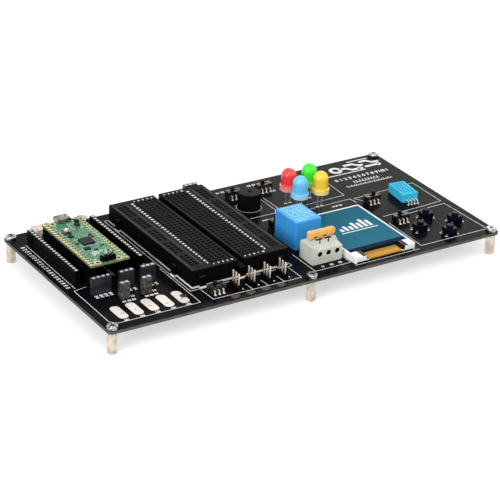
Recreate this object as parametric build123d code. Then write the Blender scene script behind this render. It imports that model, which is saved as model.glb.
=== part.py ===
from build123d import *
import math
import os

# Electronics experiment board: a circuit board on stand-offs that carries a microcontroller module in
# sockets, a breadboard, lamps, a relay, a display, switches, buttons, a sensor and a wire terminal.
# Every piece is drawn in board coordinates: X to the right from the board's left edge, Y to the back from
# its front edge, Z up from the laminate's top face. save() moves them to the part's own frame, whose origin
# lies in the middle of the board on the surface that the stand-offs rest on. Millimetres.

# Common sizes
PITCH = 2.54
PIN_SIDE = 0.64
PIN_BELOW_BOARD = 1.4
PIN_HOLE_CLEARANCE = 0.06
GLIDE_CLEARANCE = 0.1
SNUG_CLEARANCE = 0.05

# Circuit board, screws and stand-offs
BOARD_THICKNESS = 1.6
BOARD_CORNER_RADIUS = 2.0
CONTROL_ZONE_WIDTH = 55.2
OUTPUT_ZONE_WIDTH = 69.2
INPUT_ZONE_WIDTH = 47.5
FRONT_BAND = 19.3
BACK_BAND = 8.7
STANDOFF_HEIGHT = 11.0
STANDOFF_ACROSS_FLATS = 4.5
STANDOFF_BORE_ROOM = 1.0
STANDOFF_WEB = 1.0
SCREW_INSET = 3.0
SCREW_DIAMETER = 2.5
SCREW_LENGTH = 6.0
SCREW_HEAD_DIAMETER = 5.6
SCREW_HEAD_HEIGHT = 1.9
SCREW_DOME_RADIUS = 0.8
SCREW_CROSS_WIDTH = 0.7
SCREW_CROSS_DEPTH = 1.0
SCREW_CLEARANCE = 0.1
THREAD_FIT = 0.01
FREE_THREAD_FIT = 0.02

# Breadboard
BREADBOARD_ROWS = 30
BREADBOARD_END_MARGIN = 4.67
BREADBOARD_HEIGHT = 8.5
BREADBOARD_TAPE = 1.0
BLOCK_WIDTH = 36.4
RAIL_WIDTH = 9.1
BREADBOARD_HOLE = 0.95
BREADBOARD_SKIN = 2.5
FIRST_COLUMN = 3.81
COLUMNS_PER_SIDE = 5
CHANNEL_WIDTH = 3.2
CHANNEL_DEPTH = 3.0
CLIP_SLOT_MARGIN = 0.85
CLIP_SLOT_WIDTH = 1.9
CLIP_METAL = 0.2
CLIP_JAW = 0.55
CLIP_FLOOR_GAP = 0.1
RAIL_GROUPS = 5
RAIL_HOLES_PER_GROUP = 5
RAIL_GROUP_PITCH = 15.24
TAB_ROOT = 2.6
TAB_TIP = 3.8
TAB_REACH = 1.5
TAB_HEIGHT = 5.0
SIDE_TAB_PLACES = (16.2, 71.9)
END_TAB_PLACES = (5.2, 27.6, 49.5)

# Wire sockets
SOCKET_HEIGHT = 8.5
SOCKET_DEPTH = 2.5
SOCKET_MOUTH = 0.8
SOCKET_MOUTH_DEPTH = 1.1
SOCKET_CELL = 1.7
SOCKET_FLOOR = 1.0
CONTACT_WIDTH = 0.6
CONTACT_METAL = 0.25
CONTACT_GAP = 0.8
CONTACT_LEAF_HEIGHT = 5.0
LONG_SOCKET_WAYS = 20
LEFT_SOCKET_X = 7.9
RIGHT_SOCKET_X = 42.7
LONG_SOCKET_FRONT_Y = 47.9
SMALL_SOCKET_Y = 36.9
FOUR_WAY_X = 15.2
THREE_WAY_X = (29.0, 40.7)
BACK_SOCKET_FROM_OUTPUT = 4.1
BACK_SOCKET_FROM_BACK = 4.0
POWER_SOCKET_Y = 26.6
POWER_SOCKET_X = (22.3, 34.2)

# Supply inlet and smoothing capacitor, measured from the back edge
INLET_WIDTH = 8.0
INLET_DEPTH = 6.3
INLET_HEIGHT = 4.6
INLET_WALL = 0.7
INLET_X = 18.0
INLET_FROM_BACK = 3.2
INLET_PIN_PITCH = 2.0
INLET_SLOT_WIDTH = 0.9
INLET_SLOT_LENGTH = 4.6
CAPACITOR_DIAMETER = 6.0
CAPACITOR_HEIGHT = 7.7
CAPACITOR_X = 38.3
CAPACITOR_FROM_BACK = 11.6
CAPACITOR_LEAD_PITCH = 2.5
CAPACITOR_LEAD = 0.5

# Microcontroller module
MODULE_WIDTH = 21.0
MODULE_LENGTH = 51.0
MODULE_THICKNESS = 1.0
MODULE_X = 23.2
MODULE_FRONT_Y = 42.0
MODULE_ROW_SPACING = 17.78
MODULE_STRIP_HEIGHT = 2.54
MODULE_PIN_BELOW_STRIP = 6.0
MODULE_PIN_ABOVE = 1.3
MODULE_HOLE_RADIUS = 1.05
MODULE_HOLE_INSET_X = 4.8
MODULE_HOLE_INSET_Y = 2.0
PROCESSOR_SIDE = 6.4
CHIP_HEIGHT = 0.9
PROCESSOR_FROM_FRONT = 24.1
MEMORY_LENGTH = 2.6
MEMORY_WIDTH = 2.2
MEMORY_HEIGHT = 0.6
MEMORY_OFFSET = (-4.4, 32.0)
CRYSTAL_LENGTH = 3.2
CRYSTAL_WIDTH = 2.5
CRYSTAL_HEIGHT = 0.7
CRYSTAL_OFFSET = (-3.4, 17.0)
REGULATOR_SIDE = 2.2
REGULATOR_OFFSET = (4.6, 42.6)
COIL_BLOCK_SIDE = 2.0
COIL_BLOCK_HEIGHT = 1.3
COIL_BLOCK_OFFSET = (5.9, 46.0)
SMALL_CHIP_LENGTH = 1.6
SMALL_CHIP_WIDTH = 0.8
SMALL_CHIP_HEIGHT = 0.5
SMALL_CHIP_OFFSETS = (
    (4.9, 30.2), (4.9, 27.6), (-5.2, 24.0), (4.9, 17.2), (0.0, 14.6), (-2.2, 40.2), (2.8, 38.4),
)
DATA_SOCKET_WIDTH = 7.5
DATA_SOCKET_DEPTH = 5.2
DATA_SOCKET_HEIGHT = 2.5
DATA_SOCKET_WALL = 0.35
DATA_SOCKET_OVERHANG = 1.3
DATA_TONGUE_THICKNESS = 0.6
START_BUTTON_OFFSET = (-4.5, 36.6)
START_CASE_LENGTH = 4.2
START_CASE_WIDTH = 3.4
START_CASE_HEIGHT = 1.9
START_CASE_WALL = 0.4
START_CAP_DIAMETER = 2.0
START_CAP_RISE = 0.7
START_FLANGE_DIAMETER = 2.5
START_FLANGE_THICKNESS = 0.4
DEBUG_WAYS = 3
DEBUG_FROM_FRONT = 2.4
DEBUG_PIN_RISE = 3.4

# Touch pads
PAD_COUNT = 5
PAD_PITCH = 8.25
PAD_FIRST_X = 13.1
PAD_Y = 15.0
PAD_WIDTH = 5.0
PAD_LENGTH = 12.6
PAD_CORNER_RADIUS = 2.3
PAD_THICKNESS = 0.1

# Servo headers, measured from the breadboard's left side
SERVO_COUNT = 4
SERVO_WAYS = 3
SERVO_PITCH = 8.83
SERVO_FIRST_X = 19.1
SERVO_FRONT_Y = 8.1
SERVO_BASE_HEIGHT = 2.5
SERVO_PIN_RISE = 6.0

# Slide switches: places are the middle of each switch across and the line of its legs, and a rest side
# of -1 has the knob at its left end
SLIDE_WIDTH = 8.6
SLIDE_DEPTH = 3.7
SLIDE_COVER_TOP = 4.0
SLIDE_COVER_BOTTOM = 0.5
SLIDE_WALL = 0.3
SLIDE_BASE_BOTTOM = 0.2
SLIDE_CARRIAGE_HEIGHT = 0.8
SLIDE_KNOB_LENGTH = 1.5
SLIDE_KNOB_DEPTH = 1.4
SLIDE_KNOB_RISE = 2.0
SLIDE_KNOB_FILLET = 0.3
SLIDE_TRAVEL = 2.0
SLIDE_LEG_COUNT = 3
SLIDE_LEG_PITCH = 2.4
SLIDE_LEG_WIDTH = 0.6
SLIDE_LEG_METAL = 0.25
SLIDE_LEG_REACH = 0.9
SLIDE_LEG_FOOT = 0.8
SLIDE_LEG_EXIT = 1.7
SLIDE_SERVO_PLACE = (9.1, 9.1)
SLIDE_RELAY_PLACE = (19.2, 56.2)
SLIDE_BACK_X = (17.5, 36.2)
SLIDE_BACK_FROM_EDGE = 15.3
SLIDE_SENSOR_PLACE = (9.7, 57.3)
SLIDE_BUTTON_PLACE = (9.8, 31.4)
SLIDE_REST_SIDES = (-1, -1, -1, -1, 1, -1)

# Relay, measured from the breadboard's right side
RELAY_X = 11.5
RELAY_Y = 30.6
RELAY_WIDTH = 15.3
RELAY_LENGTH = 19.2
RELAY_HEIGHT = 15.2
RELAY_WALL = 0.9
RELAY_EDGE_RADIUS = 0.6
RELAY_BASE_BOTTOM = 0.4
RELAY_BASE_THICKNESS = 1.2
RELAY_YOKE_METAL = 1.0
RELAY_YOKE_WIDTH = 8.0
RELAY_CORE_DIAMETER = 3.2
RELAY_COIL_DIAMETER = 8.6
RELAY_COIL_HEIGHT = 7.6
RELAY_FLANGE_THICKNESS = 0.6
RELAY_FLANGE_DIAMETER = 9.6
RELAY_COIL_FROM_BACK = 8.2
RELAY_ARMATURE_GAP = 0.55
RELAY_ARMATURE_METAL = 1.0
RELAY_ARMATURE_WIDTH = 7.0
RELAY_BLADE_METAL = 0.3
RELAY_BLADE_WIDTH = 3.0
RELAY_BLADE_REACH = 3.4
RELAY_RIVET_DIAMETER = 1.6
RELAY_RIVET_HEIGHT = 0.9
RELAY_CONTACT_GAP = 0.75
RELAY_REST_GAP = 0.05
RELAY_POST_WIDTH = 1.0
RELAY_POST_METAL = 0.5
RELAY_POST_SPACING = 4.6
RELAY_COIL_PIN_SPACING = 12.0
RELAY_COIL_PIN_FROM_BACK = 3.0

# Wire terminal
TERMINAL_X = 10.1
TERMINAL_Y = 12.55
TERMINAL_WIDTH = 17.3
TERMINAL_DEPTH = 11.75
TERMINAL_PLATE = 1.4
TERMINAL_SHOULDER_HEIGHT = 9.1
TERMINAL_FRONT_HEIGHT = 7.6
TERMINAL_CREST_HEIGHT = 10.6
TERMINAL_CREST_FOOT = 8.4
TERMINAL_CREST_DEPTH = 4.6
TERMINAL_CREST_INSET = 0.8
TERMINAL_GROOVE_HEIGHT = 2.2
TERMINAL_GROOVE = 0.4
TERMINAL_POLES = 3
TERMINAL_POLE_PITCH = 5.08
TERMINAL_WIRE_HOLE = 2.8
TERMINAL_WIRE_HEIGHT = 5.3
TERMINAL_SLOT_WIDTH = 0.7
TERMINAL_SLOT_DEPTH = 1.0
TERMINAL_BAY_WIDTH = 4.2
TERMINAL_BAY_FLOOR = 1.5
TERMINAL_LEVER_WIDTH = 3.8
TERMINAL_LEVER_FRONT = 6.3
TERMINAL_LEVER_DEPTH = 2.6
TERMINAL_LEVER_TOP = 14.8
TERMINAL_LEVER_EYE = 1.3
TERMINAL_LEVER_PIVOT_Z = 7.4
TERMINAL_LEVER_HEAD_BOTTOM = 11.1
TERMINAL_LEVER_HEAD_WIDTH = 4.85
TERMINAL_LEVER_NOTCH_WIDTH = 2.4
TERMINAL_LEVER_NOTCH_HEIGHT = 0.9
TERMINAL_AXLE_DIAMETER = 1.2
TERMINAL_AXLE_CLEARANCE = 0.05
TERMINAL_SPRING_METAL = 0.4
TERMINAL_SPRING_WIDTH = 2.6
TERMINAL_BAY_GAP = 0.3

# Display
DISPLAY_X = 29.9
DISPLAY_Y = 3.9
DISPLAY_WIDTH = 36.3
DISPLAY_LENGTH = 50.7
DISPLAY_HEIGHT = 3.5
DISPLAY_RIM = 0.9
DISPLAY_FLOOR_BOTTOM = 0.9
DISPLAY_FLOOR_THICKNESS = 0.7
DISPLAY_TAB_WIDTH = 6.5
DISPLAY_TAB_LENGTH = 6.2
DISPLAY_CORNER_RADIUS = 0.8
GLASS_DROP = 0.15
RIBBON_WIDTH = 19.8
RIBBON_THICKNESS = 0.15
RIBBON_FRONT_GAP = 0.6
RIBBON_TAIL = 4.0
RIBBON_TAIL_HEIGHT = 0.1

# Sounder
SOUNDER_X = 18.0
SOUNDER_Y = 84.1
SOUNDER_DIAMETER = 12.0
SOUNDER_HEIGHT = 9.0
SOUNDER_WALL = 0.8
SOUNDER_HOLE = 2.2
SOUNDER_EDGE_RADIUS = 0.5
SOUNDER_BASE_THICKNESS = 1.0
SOUNDER_MAGNET_WIDTH = 1.0
SOUNDER_MAGNET_HEIGHT = 3.6
SOUNDER_COIL_DIAMETER = 5.4
SOUNDER_COIL_HEIGHT = 2.8
SOUNDER_CORE_DIAMETER = 2.4
SOUNDER_CORE_HEIGHT = 3.2
SOUNDER_DIAPHRAGM = 0.15
SOUNDER_PIN_PITCH = 6.5
SOUNDER_PIN_DIAMETER = 0.6

# Lamps: places are the middle of each lens
LAMP_COLUMNS = (38.8, 51.5)
LAMP_ROWS = (68.4, 79.2)
LAMP_COLOURS = (("blue", 0, 0), ("yellow", 1, 0), ("red", 0, 1), ("green", 1, 1))
LAMP_DIAMETER = 8.0
LAMP_LENGTH = 11.8
LAMP_FLANGE_DIAMETER = 9.3
LAMP_FLANGE_HEIGHT = 2.4
LAMP_FLANGE_FLAT = 4.4
LAMP_STAND = 8.0
LAMP_LEG_SIDE = 0.5
LAMP_FRAME_HEIGHT = 6.0
LAMP_FRAME_DEPTH = 1.0
LAMP_FRAME_GAP = 0.4
LAMP_CUP_WIDTH = 1.9
LAMP_POST_WIDTH = 1.1

# Humidity sensor
SENSOR_X = 28.3
SENSOR_Y = 57.85
SENSOR_WIDTH = 9.2
SENSOR_LENGTH = 15.6
SENSOR_BOTTOM = 0.3
SENSOR_HEIGHT = 4.6
SENSOR_TURN = -6.0
SENSOR_WALL = 0.8
SENSOR_CORNER_RADIUS = 0.6
SENSOR_GRID_COLUMNS = 4
SENSOR_GRID_ROWS = 6
SENSOR_GRID_PITCH_X = 1.8
SENSOR_GRID_PITCH_Y = 2.0
SENSOR_SLOT_WIDTH = 0.95
SENSOR_SLOT_LENGTH = 1.15
SENSOR_GRID_SHIFT = 0.6
SENSOR_PIN_COUNT = 4
SENSOR_PIN_PITCH = 1.8
SENSOR_PIN_SHIFT = 0.3
SENSOR_PIN_WIDTH = 0.5
SENSOR_PIN_METAL = 0.3
SENSOR_PIN_REACH = 2.6
SENSOR_PIN_HEIGHT = 1.6
SENSOR_CARD_THICKNESS = 0.8
SENSOR_ELEMENT_SIDE = 4.0
SENSOR_ELEMENT_HEIGHT = 0.5

# Push buttons
BUTTON_CENTRE_X = 23.4
BUTTON_CENTRE_Y = 20.9
BUTTON_STEP_X = 11.05
BUTTON_STEP_Y = 10.3
BUTTON_PLACES = ((0, 1), (-1, 0), (1, 0), (0, -1))
BUTTON_SIDE = 6.0
BUTTON_BODY_HEIGHT = 3.5
BUTTON_CORNER_RADIUS = 0.5
BUTTON_TOP_THICKNESS = 0.5
BUTTON_FLOOR = 1.0
BUTTON_WELL_DIAMETER = 4.8
BUTTON_CAP_DIAMETER = 3.5
BUTTON_CAP_TOP = 5.0
BUTTON_FLANGE_DIAMETER = 4.4
BUTTON_FLANGE_THICKNESS = 0.6
BUTTON_TRAVEL = 0.25
BUTTON_DOME_METAL = 0.1
BUTTON_DOME_DIAMETER = 4.0
BUTTON_LEG_WIDTH = 0.7
BUTTON_LEG_METAL = 0.3
BUTTON_LEG_SPACING = 4.5
BUTTON_LEG_HEIGHT = 0.9
BUTTON_LEG_STANDOFF = 0.25

# Sizes that follow from the ones above
BREADBOARD_WIDTH = BLOCK_WIDTH + 2 * RAIL_WIDTH
BREADBOARD_LENGTH = (BREADBOARD_ROWS - 1) * PITCH + 2 * BREADBOARD_END_MARGIN
BREADBOARD_X = CONTROL_ZONE_WIDTH
OUTPUT_X = BREADBOARD_X + BREADBOARD_WIDTH
INPUT_X = OUTPUT_X + OUTPUT_ZONE_WIDTH
BOARD_WIDTH = INPUT_X + INPUT_ZONE_WIDTH
BOARD_DEPTH = FRONT_BAND + BREADBOARD_LENGTH + BACK_BAND
BOARD_TOP = STANDOFF_HEIGHT + BOARD_THICKNESS
PIN_BOTTOM = -BOARD_THICKNESS - PIN_BELOW_BOARD
PIN_HOLE_RADIUS = PIN_SIDE / math.sqrt(2) + PIN_HOLE_CLEARANCE
TO_PART_FRAME = Pos(-BOARD_WIDTH / 2, -BOARD_DEPTH / 2, BOARD_TOP)
MODULE_STRIP_TOP = SOCKET_HEIGHT + MODULE_STRIP_HEIGHT
MODULE_TOP = MODULE_STRIP_TOP + MODULE_THICKNESS
MODULE_PIN_MARGIN = (MODULE_LENGTH - (LONG_SOCKET_WAYS - 1) * PITCH) / 2

drilled_holes = []


def block(x_from, x_to, y_from, y_to, z_from, z_to):
    """A box between two values on each axis."""
    size = Box(x_to - x_from, y_to - y_from, z_to - z_from)
    return Pos((x_from + x_to) / 2, (y_from + y_to) / 2, (z_from + z_to) / 2) * size


def post(x, y, width, depth, z_from, z_to):
    """A box that stands on a point."""
    return block(x - width / 2, x + width / 2, y - depth / 2, y + depth / 2, z_from, z_to)


def rod(x, y, diameter, z_from, z_to):
    """An upright cylinder that stands on a point."""
    return Pos(x, y, (z_from + z_to) / 2) * Cylinder(diameter / 2, z_to - z_from)


def drill(x, y, radius=PIN_HOLE_RADIUS):
    """Notes a hole that a lead needs through the circuit board."""
    drilled_holes.append((x, y, radius))


def extrude_along_x(points, x_from, x_to):
    """Extrudes an outline of (y, z) points along X."""
    face = Plane.YZ * make_face(Polyline(*points, close=True))
    return Pos(x_from, 0, 0) * extrude(face, x_to - x_from)


def save(name, pieces):
    """Moves a node's solids to the part's frame and writes its file."""
    moved = [TO_PART_FRAME * solid for piece in pieces for solid in piece.solids()]
    export_step(Compound(moved), f"parts/{name}.step")


def polygon_wire(points):
    """A closed wire through points in the XY plane."""
    return Wire.make_polygon([(x, y, 0) for x, y in points], close=True)


def square_wire(x, y, width, depth):
    """A rectangular wire around a point."""
    dx = width / 2
    dy = depth / 2
    return polygon_wire([(x - dx, y - dy), (x + dx, y - dy), (x + dx, y + dy), (x - dx, y + dy)])


# Circuit board and what holds it

def screw_places():
    """The four corners, then the middle of the two long edges."""
    right = BOARD_WIDTH - SCREW_INSET
    back = BOARD_DEPTH - SCREW_INSET
    corners = [(SCREW_INSET, SCREW_INSET), (right, SCREW_INSET), (right, back), (SCREW_INSET, back)]
    return corners + [(BOARD_WIDTH / 2, SCREW_INSET), (BOARD_WIDTH / 2, back)]


def main_board():
    """The laminate with its screw holes and a hole for every lead that the other pieces noted."""
    outline = Pos(BOARD_WIDTH / 2, BOARD_DEPTH / 2) * RectangleRounded(
        BOARD_WIDTH, BOARD_DEPTH, BOARD_CORNER_RADIUS
    )
    screw_radius = SCREW_DIAMETER / 2 + SCREW_CLEARANCE
    holes = [(x, y, screw_radius) for x, y in screw_places()] + drilled_holes
    inner = [Wire.make_circle(radius, Plane((x, y, 0))) for x, y, radius in holes]
    face = Face(outline.face().outer_wire(), inner)
    return extrude(face, -BOARD_THICKNESS)


def board_screw(x, y):
    """A pan-head screw with a cross recess."""
    head = rod(x, y, SCREW_HEAD_DIAMETER, 0, SCREW_HEAD_HEIGHT)
    head = fillet(head.edges().group_by(Axis.Z)[-1], SCREW_DOME_RADIUS)
    arm = SCREW_HEAD_DIAMETER / 2
    recess_bottom = SCREW_HEAD_HEIGHT - SCREW_CROSS_DEPTH
    for width, depth in ((arm, SCREW_CROSS_WIDTH), (SCREW_CROSS_WIDTH, arm)):
        head -= post(x, y, width, depth, recess_bottom, SCREW_HEAD_HEIGHT)
    return head + rod(x, y, SCREW_DIAMETER, -SCREW_LENGTH, 0)


def board_standoff(x, y):
    """A hexagonal stand-off with a blind bore at each end: the lower one is free for a screw from below."""
    hexagon = RegularPolygon(STANDOFF_ACROSS_FLATS / 2, 6, major_radius=False)
    upper_floor = -SCREW_LENGTH - STANDOFF_BORE_ROOM
    body = Pos(x, y, -BOARD_TOP) * extrude(hexagon, STANDOFF_HEIGHT)
    free_bore = SCREW_DIAMETER + 2 * FREE_THREAD_FIT
    lower = rod(x, y, free_bore, -BOARD_TOP, upper_floor - STANDOFF_WEB)
    upper = rod(x, y, SCREW_DIAMETER + 2 * THREAD_FIT, upper_floor, -BOARD_THICKNESS)
    return body - lower - upper


# Wire sockets

def socket_body(x, y, ways, along_x):
    """A socket strip that starts at its first way, with a mouth, a cell and a floor slot at each way."""
    half = (ways - 1) * PITCH / 2
    centre = (x + half, y) if along_x else (x, y + half)
    size = (ways * PITCH, SOCKET_DEPTH) if along_x else (SOCKET_DEPTH, ways * PITCH)
    body = post(*centre, *size, 0, SOCKET_HEIGHT)
    cell_top = SOCKET_HEIGHT - SOCKET_MOUTH_DEPTH
    cells = []
    for way_x, way_y in way_places(x, y, ways, along_x):
        cells.append(post(way_x, way_y, SOCKET_MOUTH, SOCKET_MOUTH, cell_top, SOCKET_HEIGHT))
        cells.append(post(way_x, way_y, SOCKET_CELL, SOCKET_CELL, SOCKET_FLOOR, cell_top))
        slot = CONTACT_WIDTH + 2 * SNUG_CLEARANCE
        cells.append(post(way_x, way_y, slot, slot, 0, SOCKET_FLOOR))
    return body - cells


def way_places(x, y, ways, along_x):
    """The places of a strip's ways, from its first."""
    if along_x:
        return [(x + way * PITCH, y) for way in range(ways)]
    return [(x, y + way * PITCH) for way in range(ways)]


def socket_contact(x, y):
    """A spring contact: two leaves on a cross plate, and a tail through the board."""
    plate_top = SOCKET_FLOOR + CONTACT_METAL
    width = CONTACT_GAP + 2 * CONTACT_METAL
    plate = post(x, y, width, width, SOCKET_FLOOR, plate_top)
    leaf_y = CONTACT_GAP / 2 + CONTACT_METAL / 2
    contact = plate + post(x, y, CONTACT_WIDTH, CONTACT_METAL, PIN_BOTTOM, SOCKET_FLOOR)
    leaf_top = plate_top + CONTACT_LEAF_HEIGHT
    for side in (-1, 1):
        contact += post(x, y + side * leaf_y, width, CONTACT_METAL, plate_top, leaf_top)
    return contact


def centred_start(middle, ways):
    """The first way's place in a strip that is centred on a place."""
    return middle - (ways - 1) * PITCH / 2


def module_row_x(side):
    """The X of the module's left (-1) or right (1) row of pins."""
    return MODULE_X + side * MODULE_ROW_SPACING / 2


def make_sockets():
    """All the socket strips and their contacts."""
    pin_y = MODULE_FRONT_Y + MODULE_PIN_MARGIN
    back_x = OUTPUT_X - BACK_SOCKET_FROM_OUTPUT
    back_y = BOARD_DEPTH - BACK_SOCKET_FROM_BACK
    groups = {
        "breakout_sockets": [
            (LEFT_SOCKET_X, LONG_SOCKET_FRONT_Y, LONG_SOCKET_WAYS, False),
            (RIGHT_SOCKET_X, LONG_SOCKET_FRONT_Y, LONG_SOCKET_WAYS, False),
        ],
        "module_sockets": [(module_row_x(side), pin_y, LONG_SOCKET_WAYS, False) for side in (-1, 1)],
        "small_sockets": [(centred_start(FOUR_WAY_X, 4), SMALL_SOCKET_Y, 4, True)]
        + [(centred_start(x, 3), SMALL_SOCKET_Y, 3, True) for x in THREE_WAY_X]
        + [(centred_start(back_x, 3), back_y, 3, True)],
        "power_sockets": [(centred_start(x, 2), POWER_SOCKET_Y, 2, True) for x in POWER_SOCKET_X],
    }
    contacts = []
    for name, strips in groups.items():
        save(name, [socket_body(*strip) for strip in strips])
        for strip in strips:
            for x, y in way_places(*strip):
                contacts.append(socket_contact(x, y))
                drill(x, y)
    save("socket_contacts", contacts + inlet_pins())


# Supply inlet and capacitor

def inlet_ends():
    """The inlet's front and back Y."""
    back = BOARD_DEPTH - INLET_FROM_BACK
    return back - INLET_DEPTH, back


def inlet_pin_x():
    """The X of the inlet's two pins."""
    return [INLET_X + side * INLET_PIN_PITCH / 2 for side in (-1, 1)]


def supply_inlet():
    """A side-entry housing, open to the back, with two slots in its top."""
    front, back = inlet_ends()
    half = INLET_WIDTH / 2
    housing = block(INLET_X - half, INLET_X + half, front, back, 0, INLET_HEIGHT)
    mouth = half - INLET_WALL
    housing -= block(
        INLET_X - mouth, INLET_X + mouth, front + INLET_WALL, back, INLET_WALL, INLET_HEIGHT - INLET_WALL
    )
    slot_x = half - INLET_WALL - INLET_SLOT_WIDTH / 2
    for side in (-1, 1):
        housing -= block(
            INLET_X + side * slot_x - INLET_SLOT_WIDTH / 2,
            INLET_X + side * slot_x + INLET_SLOT_WIDTH / 2,
            front + INLET_WALL,
            front + INLET_WALL + INLET_SLOT_LENGTH,
            INLET_HEIGHT - INLET_WALL,
            INLET_HEIGHT,
        )
    for x in inlet_pin_x():
        housing -= block(
            x - PIN_SIDE / 2, x + PIN_SIDE / 2, front, front + INLET_WALL,
            INLET_HEIGHT / 2 - PIN_SIDE / 2, INLET_HEIGHT / 2 + PIN_SIDE / 2,
        )
    return housing


def inlet_pins():
    """Two bent pins: level inside the housing, then down its front side and through the board."""
    front, back = inlet_ends()
    middle = INLET_HEIGHT / 2
    half = PIN_SIDE / 2
    pins = []
    for x in inlet_pin_x():
        level = block(x - half, x + half, front - PIN_SIDE, back - INLET_WALL, middle - half, middle + half)
        drop = block(x - half, x + half, front - PIN_SIDE, front, PIN_BOTTOM, middle - half)
        pins.append(level + drop)
        drill(x, front - half)
    return pins


def supply_capacitor():
    """A can with a rounded top and two leads through the board."""
    y = BOARD_DEPTH - CAPACITOR_FROM_BACK
    can = rod(CAPACITOR_X, y, CAPACITOR_DIAMETER, 0, CAPACITOR_HEIGHT)
    can = fillet(can.edges().group_by(Axis.Z)[-1], CAPACITOR_DIAMETER / 12)
    pieces = [can]
    for side in (-1, 1):
        x = CAPACITOR_X + side * CAPACITOR_LEAD_PITCH / 2
        pieces.append(rod(x, y, CAPACITOR_LEAD, PIN_BOTTOM, 0))
        drill(x, y)
    return pieces


# Microcontroller module

def module_pin_places():
    """The places of the module's two rows of pins."""
    start = MODULE_FRONT_Y + MODULE_PIN_MARGIN
    rows = [way_places(module_row_x(side), start, LONG_SOCKET_WAYS, False) for side in (-1, 1)]
    return rows[0] + rows[1]


def debug_places():
    """The places of the three pins at the module's front end."""
    start = centred_start(MODULE_X, DEBUG_WAYS)
    return way_places(start, MODULE_FRONT_Y + DEBUG_FROM_FRONT, DEBUG_WAYS, True)


def module_board():
    """The module's laminate with its pin holes, edge notches and mounting holes."""
    half = MODULE_WIDTH / 2
    left = MODULE_X - half
    right = MODULE_X + half
    back = MODULE_FRONT_Y + MODULE_LENGTH
    board = block(left, right, MODULE_FRONT_Y, back, MODULE_STRIP_TOP, MODULE_TOP)
    cuts = [rod(x, y, 2 * PIN_HOLE_RADIUS, MODULE_STRIP_TOP, MODULE_TOP) for x, y in module_pin_places()]
    cuts += [rod(x, y, 2 * PIN_HOLE_RADIUS, MODULE_STRIP_TOP, MODULE_TOP) for x, y in debug_places()]
    for x, y in module_pin_places():
        edge = left if x < MODULE_X else right
        cuts.append(rod(edge, y, PIN_SIDE, MODULE_STRIP_TOP, MODULE_TOP))
    for x in (left + MODULE_HOLE_INSET_X, right - MODULE_HOLE_INSET_X):
        for y in (MODULE_FRONT_Y + MODULE_HOLE_INSET_Y, back - MODULE_HOLE_INSET_Y):
            cuts.append(rod(x, y, 2 * MODULE_HOLE_RADIUS, MODULE_STRIP_TOP, MODULE_TOP))
    return board - cuts


def module_pin_strips():
    """Two long strips under the module and the short one on top of its front end."""
    strips = []
    for side in (-1, 1):
        x = module_row_x(side)
        start = MODULE_FRONT_Y + MODULE_PIN_MARGIN
        end = start + (LONG_SOCKET_WAYS - 1) * PITCH
        strip = block(
            x - PITCH / 2, x + PITCH / 2,
            start - PITCH / 2, end + PITCH / 2,
            SOCKET_HEIGHT, MODULE_STRIP_TOP,
        )
        places = way_places(x, start, LONG_SOCKET_WAYS, False)
        holes = [post(*place, PIN_SIDE, PIN_SIDE, SOCKET_HEIGHT, MODULE_STRIP_TOP) for place in places]
        strips.append(strip - holes)
    top = MODULE_TOP + MODULE_STRIP_HEIGHT
    debug = post(MODULE_X, debug_places()[0][1], DEBUG_WAYS * PITCH, PITCH, MODULE_TOP, top)
    strips.append(debug - [post(*place, PIN_SIDE, PIN_SIDE, MODULE_TOP, top) for place in debug_places()])
    return strips


def module_pins():
    """The forty pins that plug into the sockets, and the three upright ones at the front end."""
    low = SOCKET_HEIGHT - MODULE_PIN_BELOW_STRIP
    top = MODULE_TOP + MODULE_PIN_ABOVE
    debug_top = MODULE_TOP + MODULE_STRIP_HEIGHT + DEBUG_PIN_RISE
    pins = [post(*place, PIN_SIDE, PIN_SIDE, low, top) for place in module_pin_places()]
    pins += [post(*place, PIN_SIDE, PIN_SIDE, MODULE_STRIP_TOP, debug_top) for place in debug_places()]
    return pins


def on_module(offset, length, width, height):
    """A small part on the module's top face, from an offset to the module's middle line and front edge."""
    x = MODULE_X + offset[0]
    y = MODULE_FRONT_Y + offset[1]
    return post(x, y, length, width, MODULE_TOP, MODULE_TOP + height)


def module_chips():
    """The processor, memory, regulator, coil, crystal and small chips, and the data socket's tongue."""
    chips = [
        data_tongue(),
        on_module((0, PROCESSOR_FROM_FRONT), PROCESSOR_SIDE, PROCESSOR_SIDE, CHIP_HEIGHT),
        on_module(MEMORY_OFFSET, MEMORY_LENGTH, MEMORY_WIDTH, MEMORY_HEIGHT),
        on_module(CRYSTAL_OFFSET, CRYSTAL_LENGTH, CRYSTAL_WIDTH, CRYSTAL_HEIGHT),
        on_module(REGULATOR_OFFSET, REGULATOR_SIDE, REGULATOR_SIDE, CHIP_HEIGHT),
        on_module(COIL_BLOCK_OFFSET, COIL_BLOCK_SIDE, COIL_BLOCK_SIDE, COIL_BLOCK_HEIGHT),
    ]
    for offset in SMALL_CHIP_OFFSETS:
        chips.append(on_module(offset, SMALL_CHIP_LENGTH, SMALL_CHIP_WIDTH, SMALL_CHIP_HEIGHT))
    return chips


def data_socket_places():
    """The data socket's front, back and top."""
    back = MODULE_FRONT_Y + MODULE_LENGTH + DATA_SOCKET_OVERHANG
    return back - DATA_SOCKET_DEPTH, back, MODULE_TOP + DATA_SOCKET_HEIGHT


def data_socket_shell():
    """A thin metal shell, open to the back."""
    front, back, top = data_socket_places()
    half = DATA_SOCKET_WIDTH / 2
    wall = DATA_SOCKET_WALL
    shell = block(MODULE_X - half, MODULE_X + half, front, back, MODULE_TOP, top)
    shell = fillet(shell.edges().filter_by(Axis.Y), DATA_SOCKET_HEIGHT / 4)
    return shell - block(
        MODULE_X - half + wall, MODULE_X + half - wall, front + wall, back, MODULE_TOP + wall, top - wall
    )


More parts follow.
